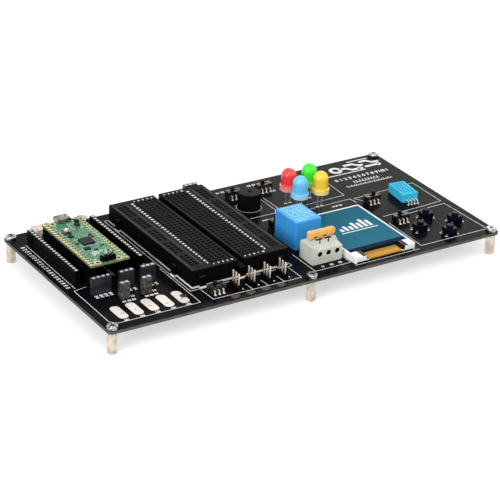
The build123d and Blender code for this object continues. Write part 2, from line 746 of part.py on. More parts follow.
def data_tongue():
    """The tongue with the data socket's contacts, held in the shell's front wall."""
    front, back, top = data_socket_places()
    half = DATA_SOCKET_WIDTH / 4
    middle = (MODULE_TOP + top) / 2
    return block(
        MODULE_X - half, MODULE_X + half, front + DATA_SOCKET_WALL, back - 2 * DATA_SOCKET_WALL,
        middle - DATA_TONGUE_THICKNESS / 2, middle + DATA_TONGUE_THICKNESS / 2,
    )


def start_button_place():
    """The middle of the module's start button."""
    return MODULE_X + START_BUTTON_OFFSET[0], MODULE_FRONT_Y + START_BUTTON_OFFSET[1]


def start_button_case():
    """The start button's case: a shell with a round hole in its top."""
    x, y = start_button_place()
    wall = START_CASE_WALL
    top = MODULE_TOP + START_CASE_HEIGHT
    inner_width = START_CASE_WIDTH - 2 * wall
    inner_length = START_CASE_LENGTH - 2 * wall
    case = post(x, y, START_CASE_WIDTH, START_CASE_LENGTH, MODULE_TOP, top)
    case -= post(x, y, inner_width, inner_length, MODULE_TOP + wall, top - wall)
    return case - rod(x, y, START_CAP_DIAMETER + 2 * GLIDE_CLEARANCE, top - wall, top)


def module_button():
    """The start button itself: a cap on a flange that the case holds in."""
    x, y = start_button_place()
    flange_top = MODULE_TOP + START_CASE_HEIGHT - START_CASE_WALL - SNUG_CLEARANCE
    flange = rod(x, y, START_FLANGE_DIAMETER, flange_top - START_FLANGE_THICKNESS, flange_top)
    cap_top = MODULE_TOP + START_CASE_HEIGHT + START_CAP_RISE
    return flange + rod(x, y, START_CAP_DIAMETER, flange_top, cap_top)


# Breadboard

def tab_outline(along_x, middle, edge):
    """A dovetail tab's corners, from the edge that it stands on."""
    near = [(-TAB_ROOT / 2, 0), (TAB_ROOT / 2, 0), (TAB_TIP / 2, TAB_REACH), (-TAB_TIP / 2, TAB_REACH)]
    if along_x:
        return [(middle + along, edge - out) for along, out in near]
    return [(edge - out, middle + along) for along, out in near]


def breadboard_dovetails(side_x, end_y, z_from, z_to):
    """Dovetails that point left from a side and forwards from an end: tabs, or the notches for them."""
    side_tabs = [tab_outline(False, FRONT_BAND + place, side_x) for place in SIDE_TAB_PLACES]
    end_tabs = [tab_outline(True, BREADBOARD_X + place, end_y) for place in END_TAB_PLACES]
    solids = []
    for outline in side_tabs + end_tabs:
        face = Face(polygon_wire(outline))
        if face.normal_at().Z < 0:
            face = -face
        solids.append(Pos(0, 0, z_from) * extrude(face, z_to - z_from))
    return solids


def breadboard_row_y(row):
    """The Y of a row of holes."""
    return FRONT_BAND + BREADBOARD_END_MARGIN + row * PITCH


def holed_plate(x_from, x_to, places):
    """A breadboard piece of full length and height, with a square hole at each place."""
    y_to = FRONT_BAND + BREADBOARD_LENGTH
    outer = polygon_wire([(x_from, FRONT_BAND), (x_to, FRONT_BAND), (x_to, y_to), (x_from, y_to)])
    holes = [square_wire(x, y, BREADBOARD_HOLE, BREADBOARD_HOLE) for x, y in places]
    plate = extrude(Face(outer, holes), BREADBOARD_HEIGHT)
    return Pos(0, 0, BREADBOARD_TAPE) * plate


def block_columns():
    """The X of the centre block's ten columns, in two sets of five."""
    middle = BREADBOARD_X + RAIL_WIDTH + BLOCK_WIDTH / 2
    reach = [FIRST_COLUMN + column * PITCH for column in range(COLUMNS_PER_SIDE)]
    return [middle - x for x in reversed(reach)], [middle + x for x in reach]


def clip_slot_top():
    """The Z where the clip slots end, under the skin that the square holes go through."""
    return BREADBOARD_TAPE + BREADBOARD_HEIGHT - BREADBOARD_SKIN


def breadboard_block():
    """The centre block with its channel, its holes and a slot for each row clip."""
    x_from = BREADBOARD_X + RAIL_WIDTH
    x_to = x_from + BLOCK_WIDTH
    sets = block_columns()
    rows = [breadboard_row_y(row) for row in range(BREADBOARD_ROWS)]
    places = [(x, y) for columns in sets for x in columns for y in rows]
    plate = holed_plate(x_from, x_to, places)
    top = BREADBOARD_TAPE + BREADBOARD_HEIGHT
    middle = (x_from + x_to) / 2
    cuts = [
        block(
            middle - CHANNEL_WIDTH / 2, middle + CHANNEL_WIDTH / 2,
            FRONT_BAND, FRONT_BAND + BREADBOARD_LENGTH, top - CHANNEL_DEPTH, top,
        )
    ]
    for columns in sets:
        for row in range(BREADBOARD_ROWS):
            y = breadboard_row_y(row)
            cuts.append(
                block(
                    columns[0] - CLIP_SLOT_MARGIN, columns[-1] + CLIP_SLOT_MARGIN,
                    y - CLIP_SLOT_WIDTH / 2, y + CLIP_SLOT_WIDTH / 2, BREADBOARD_TAPE, clip_slot_top(),
                )
            )
    return with_dovetails(plate - cuts, x_from, x_to)


def with_dovetails(plate, x_from, x_to):
    """Adds the tabs that stand on a breadboard piece, and cuts the notches that take such tabs."""
    bottom = BREADBOARD_TAPE
    top = BREADBOARD_TAPE + TAB_HEIGHT
    for tab in breadboard_dovetails(BREADBOARD_X, FRONT_BAND, bottom, top):
        if x_from - TAB_REACH < tab.center().X < x_to:
            plate += tab
    side = BREADBOARD_X + BREADBOARD_WIDTH
    end = FRONT_BAND + BREADBOARD_LENGTH
    return plate - breadboard_dovetails(side, end, bottom, top + GLIDE_CLEARANCE)


def rail_columns(side):
    """The X of a rail's two columns of holes: the left rail is side 0, the right one side 1."""
    start = BREADBOARD_X + side * (RAIL_WIDTH + BLOCK_WIDTH)
    middle = start + RAIL_WIDTH / 2
    return middle - PITCH / 2, middle + PITCH / 2


def rail_hole_y():
    """The Y of a rail column's holes, in groups of five."""
    in_group = (RAIL_HOLES_PER_GROUP - 1) * PITCH
    used = (RAIL_GROUPS - 1) * RAIL_GROUP_PITCH + in_group
    start = FRONT_BAND + (BREADBOARD_LENGTH - used) / 2
    return [
        start + group * RAIL_GROUP_PITCH + hole * PITCH
        for group in range(RAIL_GROUPS)
        for hole in range(RAIL_HOLES_PER_GROUP)
    ]


def breadboard_rail(side):
    """A supply rail with two columns of holes and a long clip slot under each."""
    x_from = BREADBOARD_X + side * (RAIL_WIDTH + BLOCK_WIDTH)
    x_to = x_from + RAIL_WIDTH
    holes_y = rail_hole_y()
    places = [(x, y) for x in rail_columns(side) for y in holes_y]
    plate = holed_plate(x_from, x_to, places)
    for x in rail_columns(side):
        plate -= block(
            x - CLIP_SLOT_WIDTH / 2, x + CLIP_SLOT_WIDTH / 2,
            holes_y[0] - CLIP_SLOT_MARGIN, holes_y[-1] + CLIP_SLOT_MARGIN, BREADBOARD_TAPE, clip_slot_top(),
        )
    return with_dovetails(plate, x_from, x_to)


def clip(x_from, x_to, y_from, y_to, jaw_along_x):
    """A bent clip: a floor strip on the tape with two upright jaws along its length."""
    x_middle = (x_from + x_to) / 2
    y_middle = (y_from + y_to) / 2
    bottom = BREADBOARD_TAPE
    floor = bottom + CLIP_METAL
    top = clip_slot_top() - CLIP_FLOOR_GAP
    reach = CLIP_JAW + CLIP_METAL
    if jaw_along_x:
        piece = block(x_from, x_to, y_middle - reach, y_middle + reach, bottom, top)
        return piece - block(x_from, x_to, y_middle - CLIP_JAW, y_middle + CLIP_JAW, floor, top)
    piece = block(x_middle - reach, x_middle + reach, y_from, y_to, bottom, top)
    return piece - block(x_middle - CLIP_JAW, x_middle + CLIP_JAW, y_from, y_to, floor, top)


def breadboard_clips():
    """The sixty row clips and the four rail clips."""
    inset = CLIP_SLOT_MARGIN - GLIDE_CLEARANCE
    clips = []
    for columns in block_columns():
        for row in range(BREADBOARD_ROWS):
            y = breadboard_row_y(row)
            clips.append(clip(columns[0] - inset, columns[-1] + inset, y, y, True))
    holes_y = rail_hole_y()
    for side in (0, 1):
        for x in rail_columns(side):
            clips.append(clip(x, x, holes_y[0] - inset, holes_y[-1] + inset, False))
    return clips


def breadboard_tape():
    """The foam tape under the whole breadboard and its tabs."""
    tape = block(
        BREADBOARD_X, BREADBOARD_X + BREADBOARD_WIDTH,
        FRONT_BAND, FRONT_BAND + BREADBOARD_LENGTH, 0, BREADBOARD_TAPE,
    )
    return tape + breadboard_dovetails(BREADBOARD_X, FRONT_BAND, 0, BREADBOARD_TAPE)


def make_breadboard():
    """The breadboard's pieces."""
    save("breadboard_block", [breadboard_block()])
    save("breadboard_rails", [breadboard_rail(side) for side in (0, 1)])
    save("breadboard_clips", breadboard_clips())
    save("breadboard_tape", [breadboard_tape()])


# Touch pads and servo headers

def touch_pads():
    """The row of long tinned pads."""
    pads = []
    for index in range(PAD_COUNT):
        outline = RectangleRounded(PAD_WIDTH, PAD_LENGTH, PAD_CORNER_RADIUS)
        pads.append(Pos(PAD_FIRST_X + index * PAD_PITCH, PAD_Y, 0) * extrude(outline, PAD_THICKNESS))
    return pads


def make_servo_headers():
    """Four three-pin headers, each in line from front to back."""
    bases = []
    pins = []
    top = SERVO_BASE_HEIGHT + SERVO_PIN_RISE
    for index in range(SERVO_COUNT):
        x = BREADBOARD_X + SERVO_FIRST_X + index * SERVO_PITCH
        places = way_places(x, SERVO_FRONT_Y, SERVO_WAYS, False)
        middle_y = SERVO_FRONT_Y + (SERVO_WAYS - 1) * PITCH / 2
        base = post(x, middle_y, PITCH, SERVO_WAYS * PITCH, 0, SERVO_BASE_HEIGHT)
        bases.append(base - [post(*place, PIN_SIDE, PIN_SIDE, 0, SERVO_BASE_HEIGHT) for place in places])
        for place in places:
            pins.append(post(*place, PIN_SIDE, PIN_SIDE, PIN_BOTTOM, top))
            drill(*place)
    save("servo_header_bases", bases)
    save("servo_pins", pins)


# Slide switches

def slide_switch_places():
    """The place of each slide switch: its middle across and the line of its legs."""
    back_y = BOARD_DEPTH - SLIDE_BACK_FROM_EDGE
    return [
        (BREADBOARD_X + SLIDE_SERVO_PLACE[0], SLIDE_SERVO_PLACE[1]),
        (OUTPUT_X + SLIDE_BACK_X[0], back_y),
        (OUTPUT_X + SLIDE_BACK_X[1], back_y),
        (OUTPUT_X + SLIDE_RELAY_PLACE[0], SLIDE_RELAY_PLACE[1]),
        (INPUT_X + SLIDE_SENSOR_PLACE[0], SLIDE_SENSOR_PLACE[1]),
        (INPUT_X + SLIDE_BUTTON_PLACE[0], SLIDE_BUTTON_PLACE[1]),
    ]


def slide_leg_x(x):
    """The X of a slide switch's legs."""
    half = (SLIDE_LEG_COUNT - 1) * SLIDE_LEG_PITCH / 2
    return [x - half + leg * SLIDE_LEG_PITCH for leg in range(SLIDE_LEG_COUNT)]


def slide_switch(x, y, rest_side):
    """The cover, base, legs and knob of one slide switch."""
    front = y + SLIDE_LEG_REACH
    middle = front + SLIDE_DEPTH / 2
    ceiling = SLIDE_COVER_TOP - SLIDE_WALL
    inner_width = SLIDE_WIDTH - 2 * SLIDE_WALL
    inner_depth = SLIDE_DEPTH - 2 * SLIDE_WALL
    base_top = ceiling - SLIDE_CARRIAGE_HEIGHT - 2 * GLIDE_CLEARANCE
    base = post(x, middle, inner_width, inner_depth, SLIDE_BASE_BOTTOM, base_top)
    cover = post(x, middle, SLIDE_WIDTH, SLIDE_DEPTH, SLIDE_COVER_BOTTOM, SLIDE_COVER_TOP)
    cover -= post(x, middle, inner_width, inner_depth, SLIDE_COVER_BOTTOM, ceiling)
    slot_length = SLIDE_KNOB_LENGTH + SLIDE_TRAVEL + 2 * GLIDE_CLEARANCE
    slot_depth = SLIDE_KNOB_DEPTH + 2 * GLIDE_CLEARANCE
    cover -= post(x, middle, slot_length, slot_depth, ceiling, SLIDE_COVER_TOP)
    window = SLIDE_LEG_WIDTH + 2 * GLIDE_CLEARANCE
    window_top = SLIDE_LEG_EXIT + SLIDE_LEG_METAL + GLIDE_CLEARANCE
    for leg_x in slide_leg_x(x):
        cover -= post(leg_x, front + SLIDE_WALL / 2, window, SLIDE_WALL, SLIDE_COVER_BOTTOM, window_top)
    legs = [slide_leg(leg_x, y, front + SLIDE_WALL) for leg_x in slide_leg_x(x)]
    knob_x = x + rest_side * SLIDE_TRAVEL / 2
    carriage_length = inner_width - SLIDE_TRAVEL - 2 * GLIDE_CLEARANCE
    carriage_bottom = base_top + GLIDE_CLEARANCE
    carriage_top = carriage_bottom + SLIDE_CARRIAGE_HEIGHT
    carriage = post(
        knob_x, middle, carriage_length, inner_depth - 2 * GLIDE_CLEARANCE,
        carriage_bottom, carriage_top,
    )
    knob = post(
        knob_x, middle, SLIDE_KNOB_LENGTH, SLIDE_KNOB_DEPTH, carriage_top, SLIDE_COVER_TOP + SLIDE_KNOB_RISE
    )
    knob = fillet(knob.edges().group_by(Axis.Z)[-1], SLIDE_KNOB_FILLET)
    return cover, base, legs, carriage + knob


def slide_leg(x, y, base_front):
    """A flat leg: out of the base, down to the board and forward in a foot."""
    metal = SLIDE_LEG_METAL
    out = y - metal / 2
    points = [
        (base_front, SLIDE_LEG_EXIT + metal),
        (out, SLIDE_LEG_EXIT + metal),
        (out, metal),
        (out - SLIDE_LEG_FOOT, metal),
        (out - SLIDE_LEG_FOOT, 0),
        (out + metal, 0),
        (out + metal, SLIDE_LEG_EXIT),
        (base_front, SLIDE_LEG_EXIT),
    ]
    return extrude_along_x(points, x - SLIDE_LEG_WIDTH / 2, x + SLIDE_LEG_WIDTH / 2)


def make_slide_switches():
    """The covers, bases and legs in groups, and each knob in a node of its own."""
    switches = [slide_switch(*place, side) for place, side in zip(slide_switch_places(), SLIDE_REST_SIDES)]
    save("switch_covers", [switch[0] for switch in switches])
    save("switch_bases", [switch[1] for switch in switches])
    save("switch_legs", [leg for switch in switches for leg in switch[2]])
    for number, switch in enumerate(switches, 1):
        save(f"switch_knob_{number}", [switch[3]])


# Relay

def relay_frame():
    """The relay's own reference places and heights, as a dictionary."""
    x = OUTPUT_X + RELAY_X + RELAY_WIDTH / 2
    back = RELAY_Y + RELAY_LENGTH
    base_top = RELAY_BASE_BOTTOM + RELAY_BASE_THICKNESS
    coil_bottom = base_top + RELAY_YOKE_METAL
    core_top = coil_bottom + RELAY_COIL_HEIGHT + 2 * RELAY_FLANGE_THICKNESS
    armature_bottom = core_top + RELAY_ARMATURE_GAP
    coil_y = back - RELAY_WALL - RELAY_COIL_FROM_BACK
    return {
        "x": x,
        "back": back,
        "base_top": base_top,
        "coil_bottom": coil_bottom,
        "core_top": core_top,
        "armature_bottom": armature_bottom,
        "coil_y": coil_y,
        "upright_y": coil_y + RELAY_FLANGE_DIAMETER / 2 + RELAY_YOKE_METAL,
        "blade_tip": coil_y - RELAY_ARMATURE_WIDTH / 2 - RELAY_BLADE_REACH,
    }


def relay_case():
    """The case, open at the bottom, with rounded outer edges."""
    right = OUTPUT_X + RELAY_X + RELAY_WIDTH
    left = OUTPUT_X + RELAY_X
    back = RELAY_Y + RELAY_LENGTH
    case = block(left, right, RELAY_Y, back, 0, RELAY_HEIGHT)
    top_edges = case.edges().group_by(Axis.Z)[-1]
    case = fillet(case.edges().filter_by(Axis.Z) + top_edges, RELAY_EDGE_RADIUS)
    wall = RELAY_WALL
    return case - block(left + wall, right - wall, RELAY_Y + wall, back - wall, 0, RELAY_HEIGHT - wall)


def relay_post_places(at):
    """The places of the contact posts (normally closed, normally open) and the two coil pins."""
    contact_y = at["blade_tip"]
    pin_y = at["back"] - RELAY_COIL_PIN_FROM_BACK
    coil_pins = [(at["x"] + side * RELAY_COIL_PIN_SPACING / 2, pin_y) for side in (-1, 1)]
    contacts = [(at["x"] + side * RELAY_POST_SPACING / 2, contact_y) for side in (-1, 1)]
    return contacts, coil_pins


def relay_base(at):
    """The base plate, with a hole for each post and pin."""
    half = RELAY_WIDTH / 2 - RELAY_WALL
    base = block(
        at["x"] - half, at["x"] + half, RELAY_Y + RELAY_WALL, at["back"] - RELAY_WALL,
        RELAY_BASE_BOTTOM, at["base_top"],
    )
    contacts, coil_pins = relay_post_places(at)
    for place in contacts + coil_pins:
        base -= post(*place, RELAY_POST_WIDTH, RELAY_POST_METAL, RELAY_BASE_BOTTOM, at["base_top"])
    return base


def relay_magnet(at):
    """The yoke with its upright, the core, and the coil on its bobbin."""
    half = RELAY_YOKE_WIDTH / 2
    x = at["x"]
    upright = at["upright_y"]
    front = at["coil_y"] - RELAY_CORE_DIAMETER
    yoke = block(x - half, x + half, front, upright, at["base_top"], at["coil_bottom"])
    upright_top = at["armature_bottom"] - SNUG_CLEARANCE
    yoke += block(x - half, x + half, upright - RELAY_YOKE_METAL, upright, at["coil_bottom"], upright_top)
    core = rod(x, at["coil_y"], RELAY_CORE_DIAMETER, at["coil_bottom"], at["core_top"])
    bottom = at["coil_bottom"]
    top = at["core_top"]
    bobbin = rod(x, at["coil_y"], RELAY_FLANGE_DIAMETER, bottom, bottom + RELAY_FLANGE_THICKNESS)
    bobbin += rod(x, at["coil_y"], RELAY_FLANGE_DIAMETER, top - RELAY_FLANGE_THICKNESS, top)
    bobbin -= rod(x, at["coil_y"], RELAY_CORE_DIAMETER, bottom, top)
    wire_bottom = bottom + RELAY_FLANGE_THICKNESS
    wire_top = top - RELAY_FLANGE_THICKNESS
    winding = rod(x, at["coil_y"], RELAY_COIL_DIAMETER, wire_bottom, wire_top)
    winding -= rod(x, at["coil_y"], RELAY_CORE_DIAMETER, wire_bottom, wire_top)
    return [yoke, core, bobbin, winding]


def relay_armature(at):
    """The rocking plate over the core, with the contact blade and its rivet."""
    x = at["x"]
    bottom = at["armature_bottom"]
    half = RELAY_ARMATURE_WIDTH / 2
    top = bottom + RELAY_ARMATURE_METAL
    plate = block(x - half, x + half, at["coil_y"] - half, at["upright_y"], bottom, top)
    blade_half = RELAY_BLADE_WIDTH / 2
    tip = at["blade_tip"] - RELAY_RIVET_DIAMETER / 2 - SNUG_CLEARANCE
    blade = block(x - blade_half, x + blade_half, tip, at["coil_y"], top, top + RELAY_BLADE_METAL)
    middle = top + RELAY_BLADE_METAL / 2
    half = RELAY_RIVET_HEIGHT / 2
    return plate + blade + rod(x, at["blade_tip"], RELAY_RIVET_DIAMETER, middle - half, middle + half)


def relay_contacts(at):
    """The two fixed contacts that the rivet moves between, and the coil's two pins."""
    contacts, coil_pins = relay_post_places(at)
    middle = at["armature_bottom"] + RELAY_ARMATURE_METAL + RELAY_BLADE_METAL / 2
    upper = middle + RELAY_RIVET_HEIGHT / 2 + RELAY_REST_GAP
    lower = middle - RELAY_RIVET_HEIGHT / 2 - RELAY_CONTACT_GAP
    pieces = []
    for (x, y), height, side in zip(contacts, (upper, lower), (-1, 1)):
        bar_top = height + RELAY_POST_METAL if side < 0 else height
        upright = post(x, y, RELAY_POST_WIDTH, RELAY_POST_METAL, PIN_BOTTOM, bar_top)
        inner = at["x"] - side * RELAY_RIVET_DIAMETER / 2
        x_from = min(x - RELAY_POST_WIDTH / 2, inner)
        x_to = max(x + RELAY_POST_WIDTH / 2, inner)
        half = RELAY_RIVET_DIAMETER / 2
        bar = block(x_from, x_to, y - half, y + half, bar_top - RELAY_POST_METAL, bar_top)
        pieces.append(upright + bar)
        drill(x, y, RELAY_POST_WIDTH / 2 + GLIDE_CLEARANCE)
    pin_top = at["base_top"] + RELAY_YOKE_METAL
    for x, y in coil_pins:
        pieces.append(post(x, y, RELAY_POST_WIDTH, RELAY_POST_METAL, PIN_BOTTOM, pin_top))
        drill(x, y, RELAY_POST_WIDTH / 2 + GLIDE_CLEARANCE)
    return pieces


def make_relay():
    """The relay's pieces."""
    at = relay_frame()
    save("relay_case", [relay_case()])
    save("relay_base", [relay_base(at)])
    save("relay_magnet", relay_magnet(at))
    save("relay_armature", [relay_armature(at)])
    save("relay_contacts", relay_contacts(at))


# Wire terminal

def terminal_pole_x():
    """The X of the terminal's three poles."""
    left = OUTPUT_X + TERMINAL_X + TERMINAL_PLATE
    right = OUTPUT_X + TERMINAL_X + TERMINAL_WIDTH
    first = (left + right) / 2 - (TERMINAL_POLES - 1) * TERMINAL_POLE_PITCH / 2
    return [first + pole * TERMINAL_POLE_PITCH for pole in range(TERMINAL_POLES)]


def terminal_pivot_y():
    """The Y of the levers' axle."""
    return TERMINAL_Y + TERMINAL_LEVER_FRONT + TERMINAL_LEVER_DEPTH / 2


def terminal_bay():
    """The front, back and floor of the bays that the levers and springs stand in."""
    pivot = terminal_pivot_y()
    reach = TERMINAL_LEVER_EYE + TERMINAL_BAY_GAP
    return pivot - reach, pivot + reach, TERMINAL_BAY_FLOOR


def terminal_housing():
    """The housing, with wire holes in its front, bays for the levers, and their axle."""
    left = OUTPUT_X + TERMINAL_X
    right = left + TERMINAL_WIDTH
    front = TERMINAL_Y
    back = front + TERMINAL_DEPTH
    bay_front, bay_back, bay_floor = terminal_bay()
    crest = front + TERMINAL_CREST_DEPTH
    foot = [(front, 0), (back, 0), (back, TERMINAL_SHOULDER_HEIGHT)]
    top = [
        (crest, TERMINAL_SHOULDER_HEIGHT),
        (crest, TERMINAL_CREST_FOOT),
        (front, TERMINAL_FRONT_HEIGHT),
    ]
    ridge = [
        (crest, TERMINAL_SHOULDER_HEIGHT),
        (bay_back, TERMINAL_SHOULDER_HEIGHT),
        (bay_back, TERMINAL_CREST_HEIGHT),
        (crest, TERMINAL_CREST_HEIGHT),
    ]
    plate = foot + [(front, TERMINAL_SHOULDER_HEIGHT)]
    housing = extrude_along_x(foot + top, left + TERMINAL_PLATE, right)
    housing += extrude_along_x(plate, left, left + TERMINAL_PLATE)
    housing += extrude_along_x(ridge, left + TERMINAL_PLATE, right - TERMINAL_CREST_INSET)
    groove_top = TERMINAL_GROOVE_HEIGHT + TERMINAL_GROOVE
    housing -= block(left, right, front, front + TERMINAL_GROOVE, TERMINAL_GROOVE_HEIGHT, groove_top)
    wire = TERMINAL_WIRE_HOLE / 2
    for x in terminal_pole_x():
        half = TERMINAL_BAY_WIDTH / 2
        housing -= block(x - half, x + half, bay_front, bay_back, bay_floor, TERMINAL_CREST_HEIGHT)
        bore = Pos(x, (front + bay_front) / 2, TERMINAL_WIRE_HEIGHT) * Rot(90, 0, 0)
        housing -= bore * Cylinder(wire, bay_front - front)
    poles = terminal_pole_x()
    for x in [(first + second) / 2 for first, second in zip(poles, poles[1:])]:
        half = TERMINAL_SLOT_WIDTH / 2
        housing -= block(
            x - half, x + half, crest, crest + TERMINAL_SLOT_DEPTH, TERMINAL_CREST_FOOT, TERMINAL_CREST_HEIGHT
        )
    length = right - left
    axle = Pos((left + right) / 2, terminal_pivot_y(), TERMINAL_LEVER_PIVOT_Z) * Rot(0, 90, 0)
    return housing + axle * Cylinder(TERMINAL_AXLE_DIAMETER / 2, length)


def terminal_lever(x):
    """A lever: an eye on the axle, a stem and a thumb head that is notched in front on its right."""
    y = terminal_pivot_y()
    half = TERMINAL_LEVER_WIDTH / 2
    head_half = TERMINAL_LEVER_HEAD_WIDTH / 2
    depth = TERMINAL_LEVER_DEPTH / 2
    turned = Pos(x, y, TERMINAL_LEVER_PIVOT_Z) * Rot(0, 90, 0)
    lever = turned * Cylinder(TERMINAL_LEVER_EYE, TERMINAL_LEVER_WIDTH)
    lever += block(
        x - half, x + half, y - depth / 2, y + depth / 2, TERMINAL_LEVER_PIVOT_Z, TERMINAL_LEVER_HEAD_BOTTOM
    )
    bottom = TERMINAL_LEVER_HEAD_BOTTOM
    head = block(x - head_half, x + head_half, y - depth, y + depth, bottom, TERMINAL_LEVER_TOP)
    head = fillet(head.edges().group_by(Axis.Z)[-1], depth / 2)
    head -= block(
        x + head_half - TERMINAL_LEVER_NOTCH_WIDTH, x + head_half,
        y - depth, y - depth / 2,
        bottom, bottom + TERMINAL_LEVER_NOTCH_HEIGHT,
    )
    bore = TERMINAL_AXLE_DIAMETER / 2 + TERMINAL_AXLE_CLEARANCE
    return lever + head - turned * Cylinder(bore, TERMINAL_LEVER_WIDTH)


def terminal_clamps():
    """A clamp spring in each bay with its solder pin, and the pin's hole in the board."""
    bay_front, bay_back, bay_floor = terminal_bay()
    half = TERMINAL_SPRING_WIDTH / 2
    metal = TERMINAL_SPRING_METAL
    top = TERMINAL_LEVER_PIVOT_Z - TERMINAL_LEVER_EYE - TERMINAL_BAY_GAP
    clamps = []
    for x in terminal_pole_x():
        points = [
            (bay_front, bay_floor),
            (bay_back, bay_floor),
            (bay_back, bay_floor + metal),
            (bay_front + metal, bay_floor + metal),
            (bay_back - metal, top - metal),
            (bay_back - metal, top),
            (bay_front, bay_floor + 2 * metal),
        ]
        clamp = extrude_along_x(points, x - half, x + half)
        middle = (bay_front + bay_back) / 2
        clamps.append(clamp + post(x, middle, metal, metal, PIN_BOTTOM, bay_floor))
        drill(x, middle)
    return clamps


def make_terminal():
    """The terminal's pieces."""
    clamps = terminal_clamps()
    housing = terminal_housing()
    middle = (terminal_bay()[0] + terminal_bay()[1]) / 2
    for x in terminal_pole_x():
        housing -= post(x, middle, TERMINAL_SPRING_METAL, TERMINAL_SPRING_METAL, 0, TERMINAL_BAY_FLOOR)
    save("terminal_housing", [housing])
    save("terminal_clamps", clamps)
    for number, x in enumerate(terminal_pole_x(), 1):
        save(f"terminal_lever_{number}", [terminal_lever(x)])


# Display

def make_display():
    """The white frame, the glass panel in it and the folded ribbon."""
    left = OUTPUT_X + DISPLAY_X
    right = left + DISPLAY_WIDTH
    front = DISPLAY_Y
    back = front + DISPLAY_LENGTH
    floor_top = DISPLAY_FLOOR_BOTTOM + DISPLAY_FLOOR_THICKNESS
    glass_front = front + DISPLAY_TAB_LENGTH
    outline = Pos((left + right) / 2, (front + back) / 2) * RectangleRounded(
        DISPLAY_WIDTH, DISPLAY_LENGTH, DISPLAY_CORNER_RADIUS
    )
    frame = extrude(outline, DISPLAY_HEIGHT)
    frame -= block(
        left + DISPLAY_RIM, right - DISPLAY_RIM, glass_front, back - DISPLAY_RIM, floor_top, DISPLAY_HEIGHT
    )
    frame -= block(
        left + DISPLAY_TAB_WIDTH, right - DISPLAY_TAB_WIDTH, front, glass_front, floor_top, DISPLAY_HEIGHT
    )
    frame -= block(
        left + DISPLAY_RIM, right - DISPLAY_RIM, front, back - DISPLAY_RIM, 0, DISPLAY_FLOOR_BOTTOM
    )
    middle = (left + right) / 2
    half = RIBBON_WIDTH / 2
    ribbon_top = floor_top + RIBBON_THICKNESS
    bend_radius = (ribbon_top - RIBBON_TAIL_HEIGHT) / 2
    bend_y = front + RIBBON_FRONT_GAP + bend_radius
    frame -= block(
        middle - half - GLIDE_CLEARANCE, middle + half + GLIDE_CLEARANCE, front, bend_y, 0, ribbon_top
    )
    glass = block(
        left + DISPLAY_RIM + SNUG_CLEARANCE, right - DISPLAY_RIM - SNUG_CLEARANCE,
        glass_front + SNUG_CLEARANCE, back - DISPLAY_RIM - SNUG_CLEARANCE,
        floor_top, DISPLAY_HEIGHT - GLASS_DROP,
    )
    save("display_frame", [frame])
    save("display_glass", [glass])
    save("display_ribbon", [display_ribbon(middle, bend_y, bend_radius, glass_front)])


def display_ribbon(middle, bend_y, outer, glass_front):
    """The ribbon: from the glass to the front, round a bend and back under the frame."""
    centre_z = RIBBON_TAIL_HEIGHT + outer
    inner = outer - RIBBON_THICKNESS
    path = [
        Line((glass_front, centre_z + outer), (bend_y, centre_z + outer)),
        ThreePointArc(
            (bend_y, centre_z + outer), (bend_y - outer, centre_z), (bend_y, centre_z - outer)
        ),
        Line((bend_y, centre_z - outer), (bend_y + RIBBON_TAIL, centre_z - outer)),
        Line((bend_y + RIBBON_TAIL, centre_z - outer), (bend_y + RIBBON_TAIL, centre_z - inner)),
        Line((bend_y + RIBBON_TAIL, centre_z - inner), (bend_y, centre_z - inner)),
        ThreePointArc(
            (bend_y, centre_z - inner), (bend_y - inner, centre_z), (bend_y, centre_z + inner)
        ),
        Line((bend_y, centre_z + inner), (glass_front, centre_z + inner)),
        Line((glass_front, centre_z + inner), (glass_front, centre_z + outer)),
    ]
    face = Plane.YZ * make_face(Curve() + path)
    return Pos(middle - RIBBON_WIDTH / 2, 0, 0) * extrude(face, RIBBON_WIDTH)


# Sounder

def sounder_case(x, y):
    """The case: a round shell with a sound hole, closed below by the base."""
    case = rod(x, y, SOUNDER_DIAMETER, 0, SOUNDER_HEIGHT)
    case = fillet(case.edges().group_by(Axis.Z)[-1], SOUNDER_EDGE_RADIUS)
    case -= rod(x, y, SOUNDER_DIAMETER - 2 * SOUNDER_WALL, 0, SOUNDER_HEIGHT - SOUNDER_WALL)
    return case - rod(x, y, SOUNDER_HOLE, SOUNDER_HEIGHT - SOUNDER_WALL, SOUNDER_HEIGHT)


def sounder_driver(x, y):
    """The base, ring magnet, coil, core, diaphragm and two pins."""
    inner = SOUNDER_DIAMETER - 2 * SOUNDER_WALL
    base_top = SOUNDER_BASE_THICKNESS
    pin_x = [x + side * SOUNDER_PIN_PITCH / 2 for side in (-1, 1)]
    base = rod(x, y, inner, 0, base_top)
    pieces = []
    for place in pin_x:
        base -= rod(place, y, SOUNDER_PIN_DIAMETER, 0, base_top)
        pieces.append(rod(place, y, SOUNDER_PIN_DIAMETER, PIN_BOTTOM, base_top))
        drill(place, y)
    magnet_top = base_top + SOUNDER_MAGNET_HEIGHT
    magnet = rod(x, y, inner, base_top, magnet_top)
    magnet -= rod(x, y, inner - 2 * SOUNDER_MAGNET_WIDTH, base_top, magnet_top)
    coil = rod(x, y, SOUNDER_COIL_DIAMETER, base_top, base_top + SOUNDER_COIL_HEIGHT)
    coil -= rod(x, y, SOUNDER_CORE_DIAMETER, base_top, base_top + SOUNDER_COIL_HEIGHT)
    core = rod(x, y, SOUNDER_CORE_DIAMETER, base_top, base_top + SOUNDER_CORE_HEIGHT)
    diaphragm = rod(x, y, inner - 2 * SNUG_CLEARANCE, magnet_top, magnet_top + SOUNDER_DIAPHRAGM)
    return pieces + [base, magnet, coil, core, diaphragm]


# Lamps

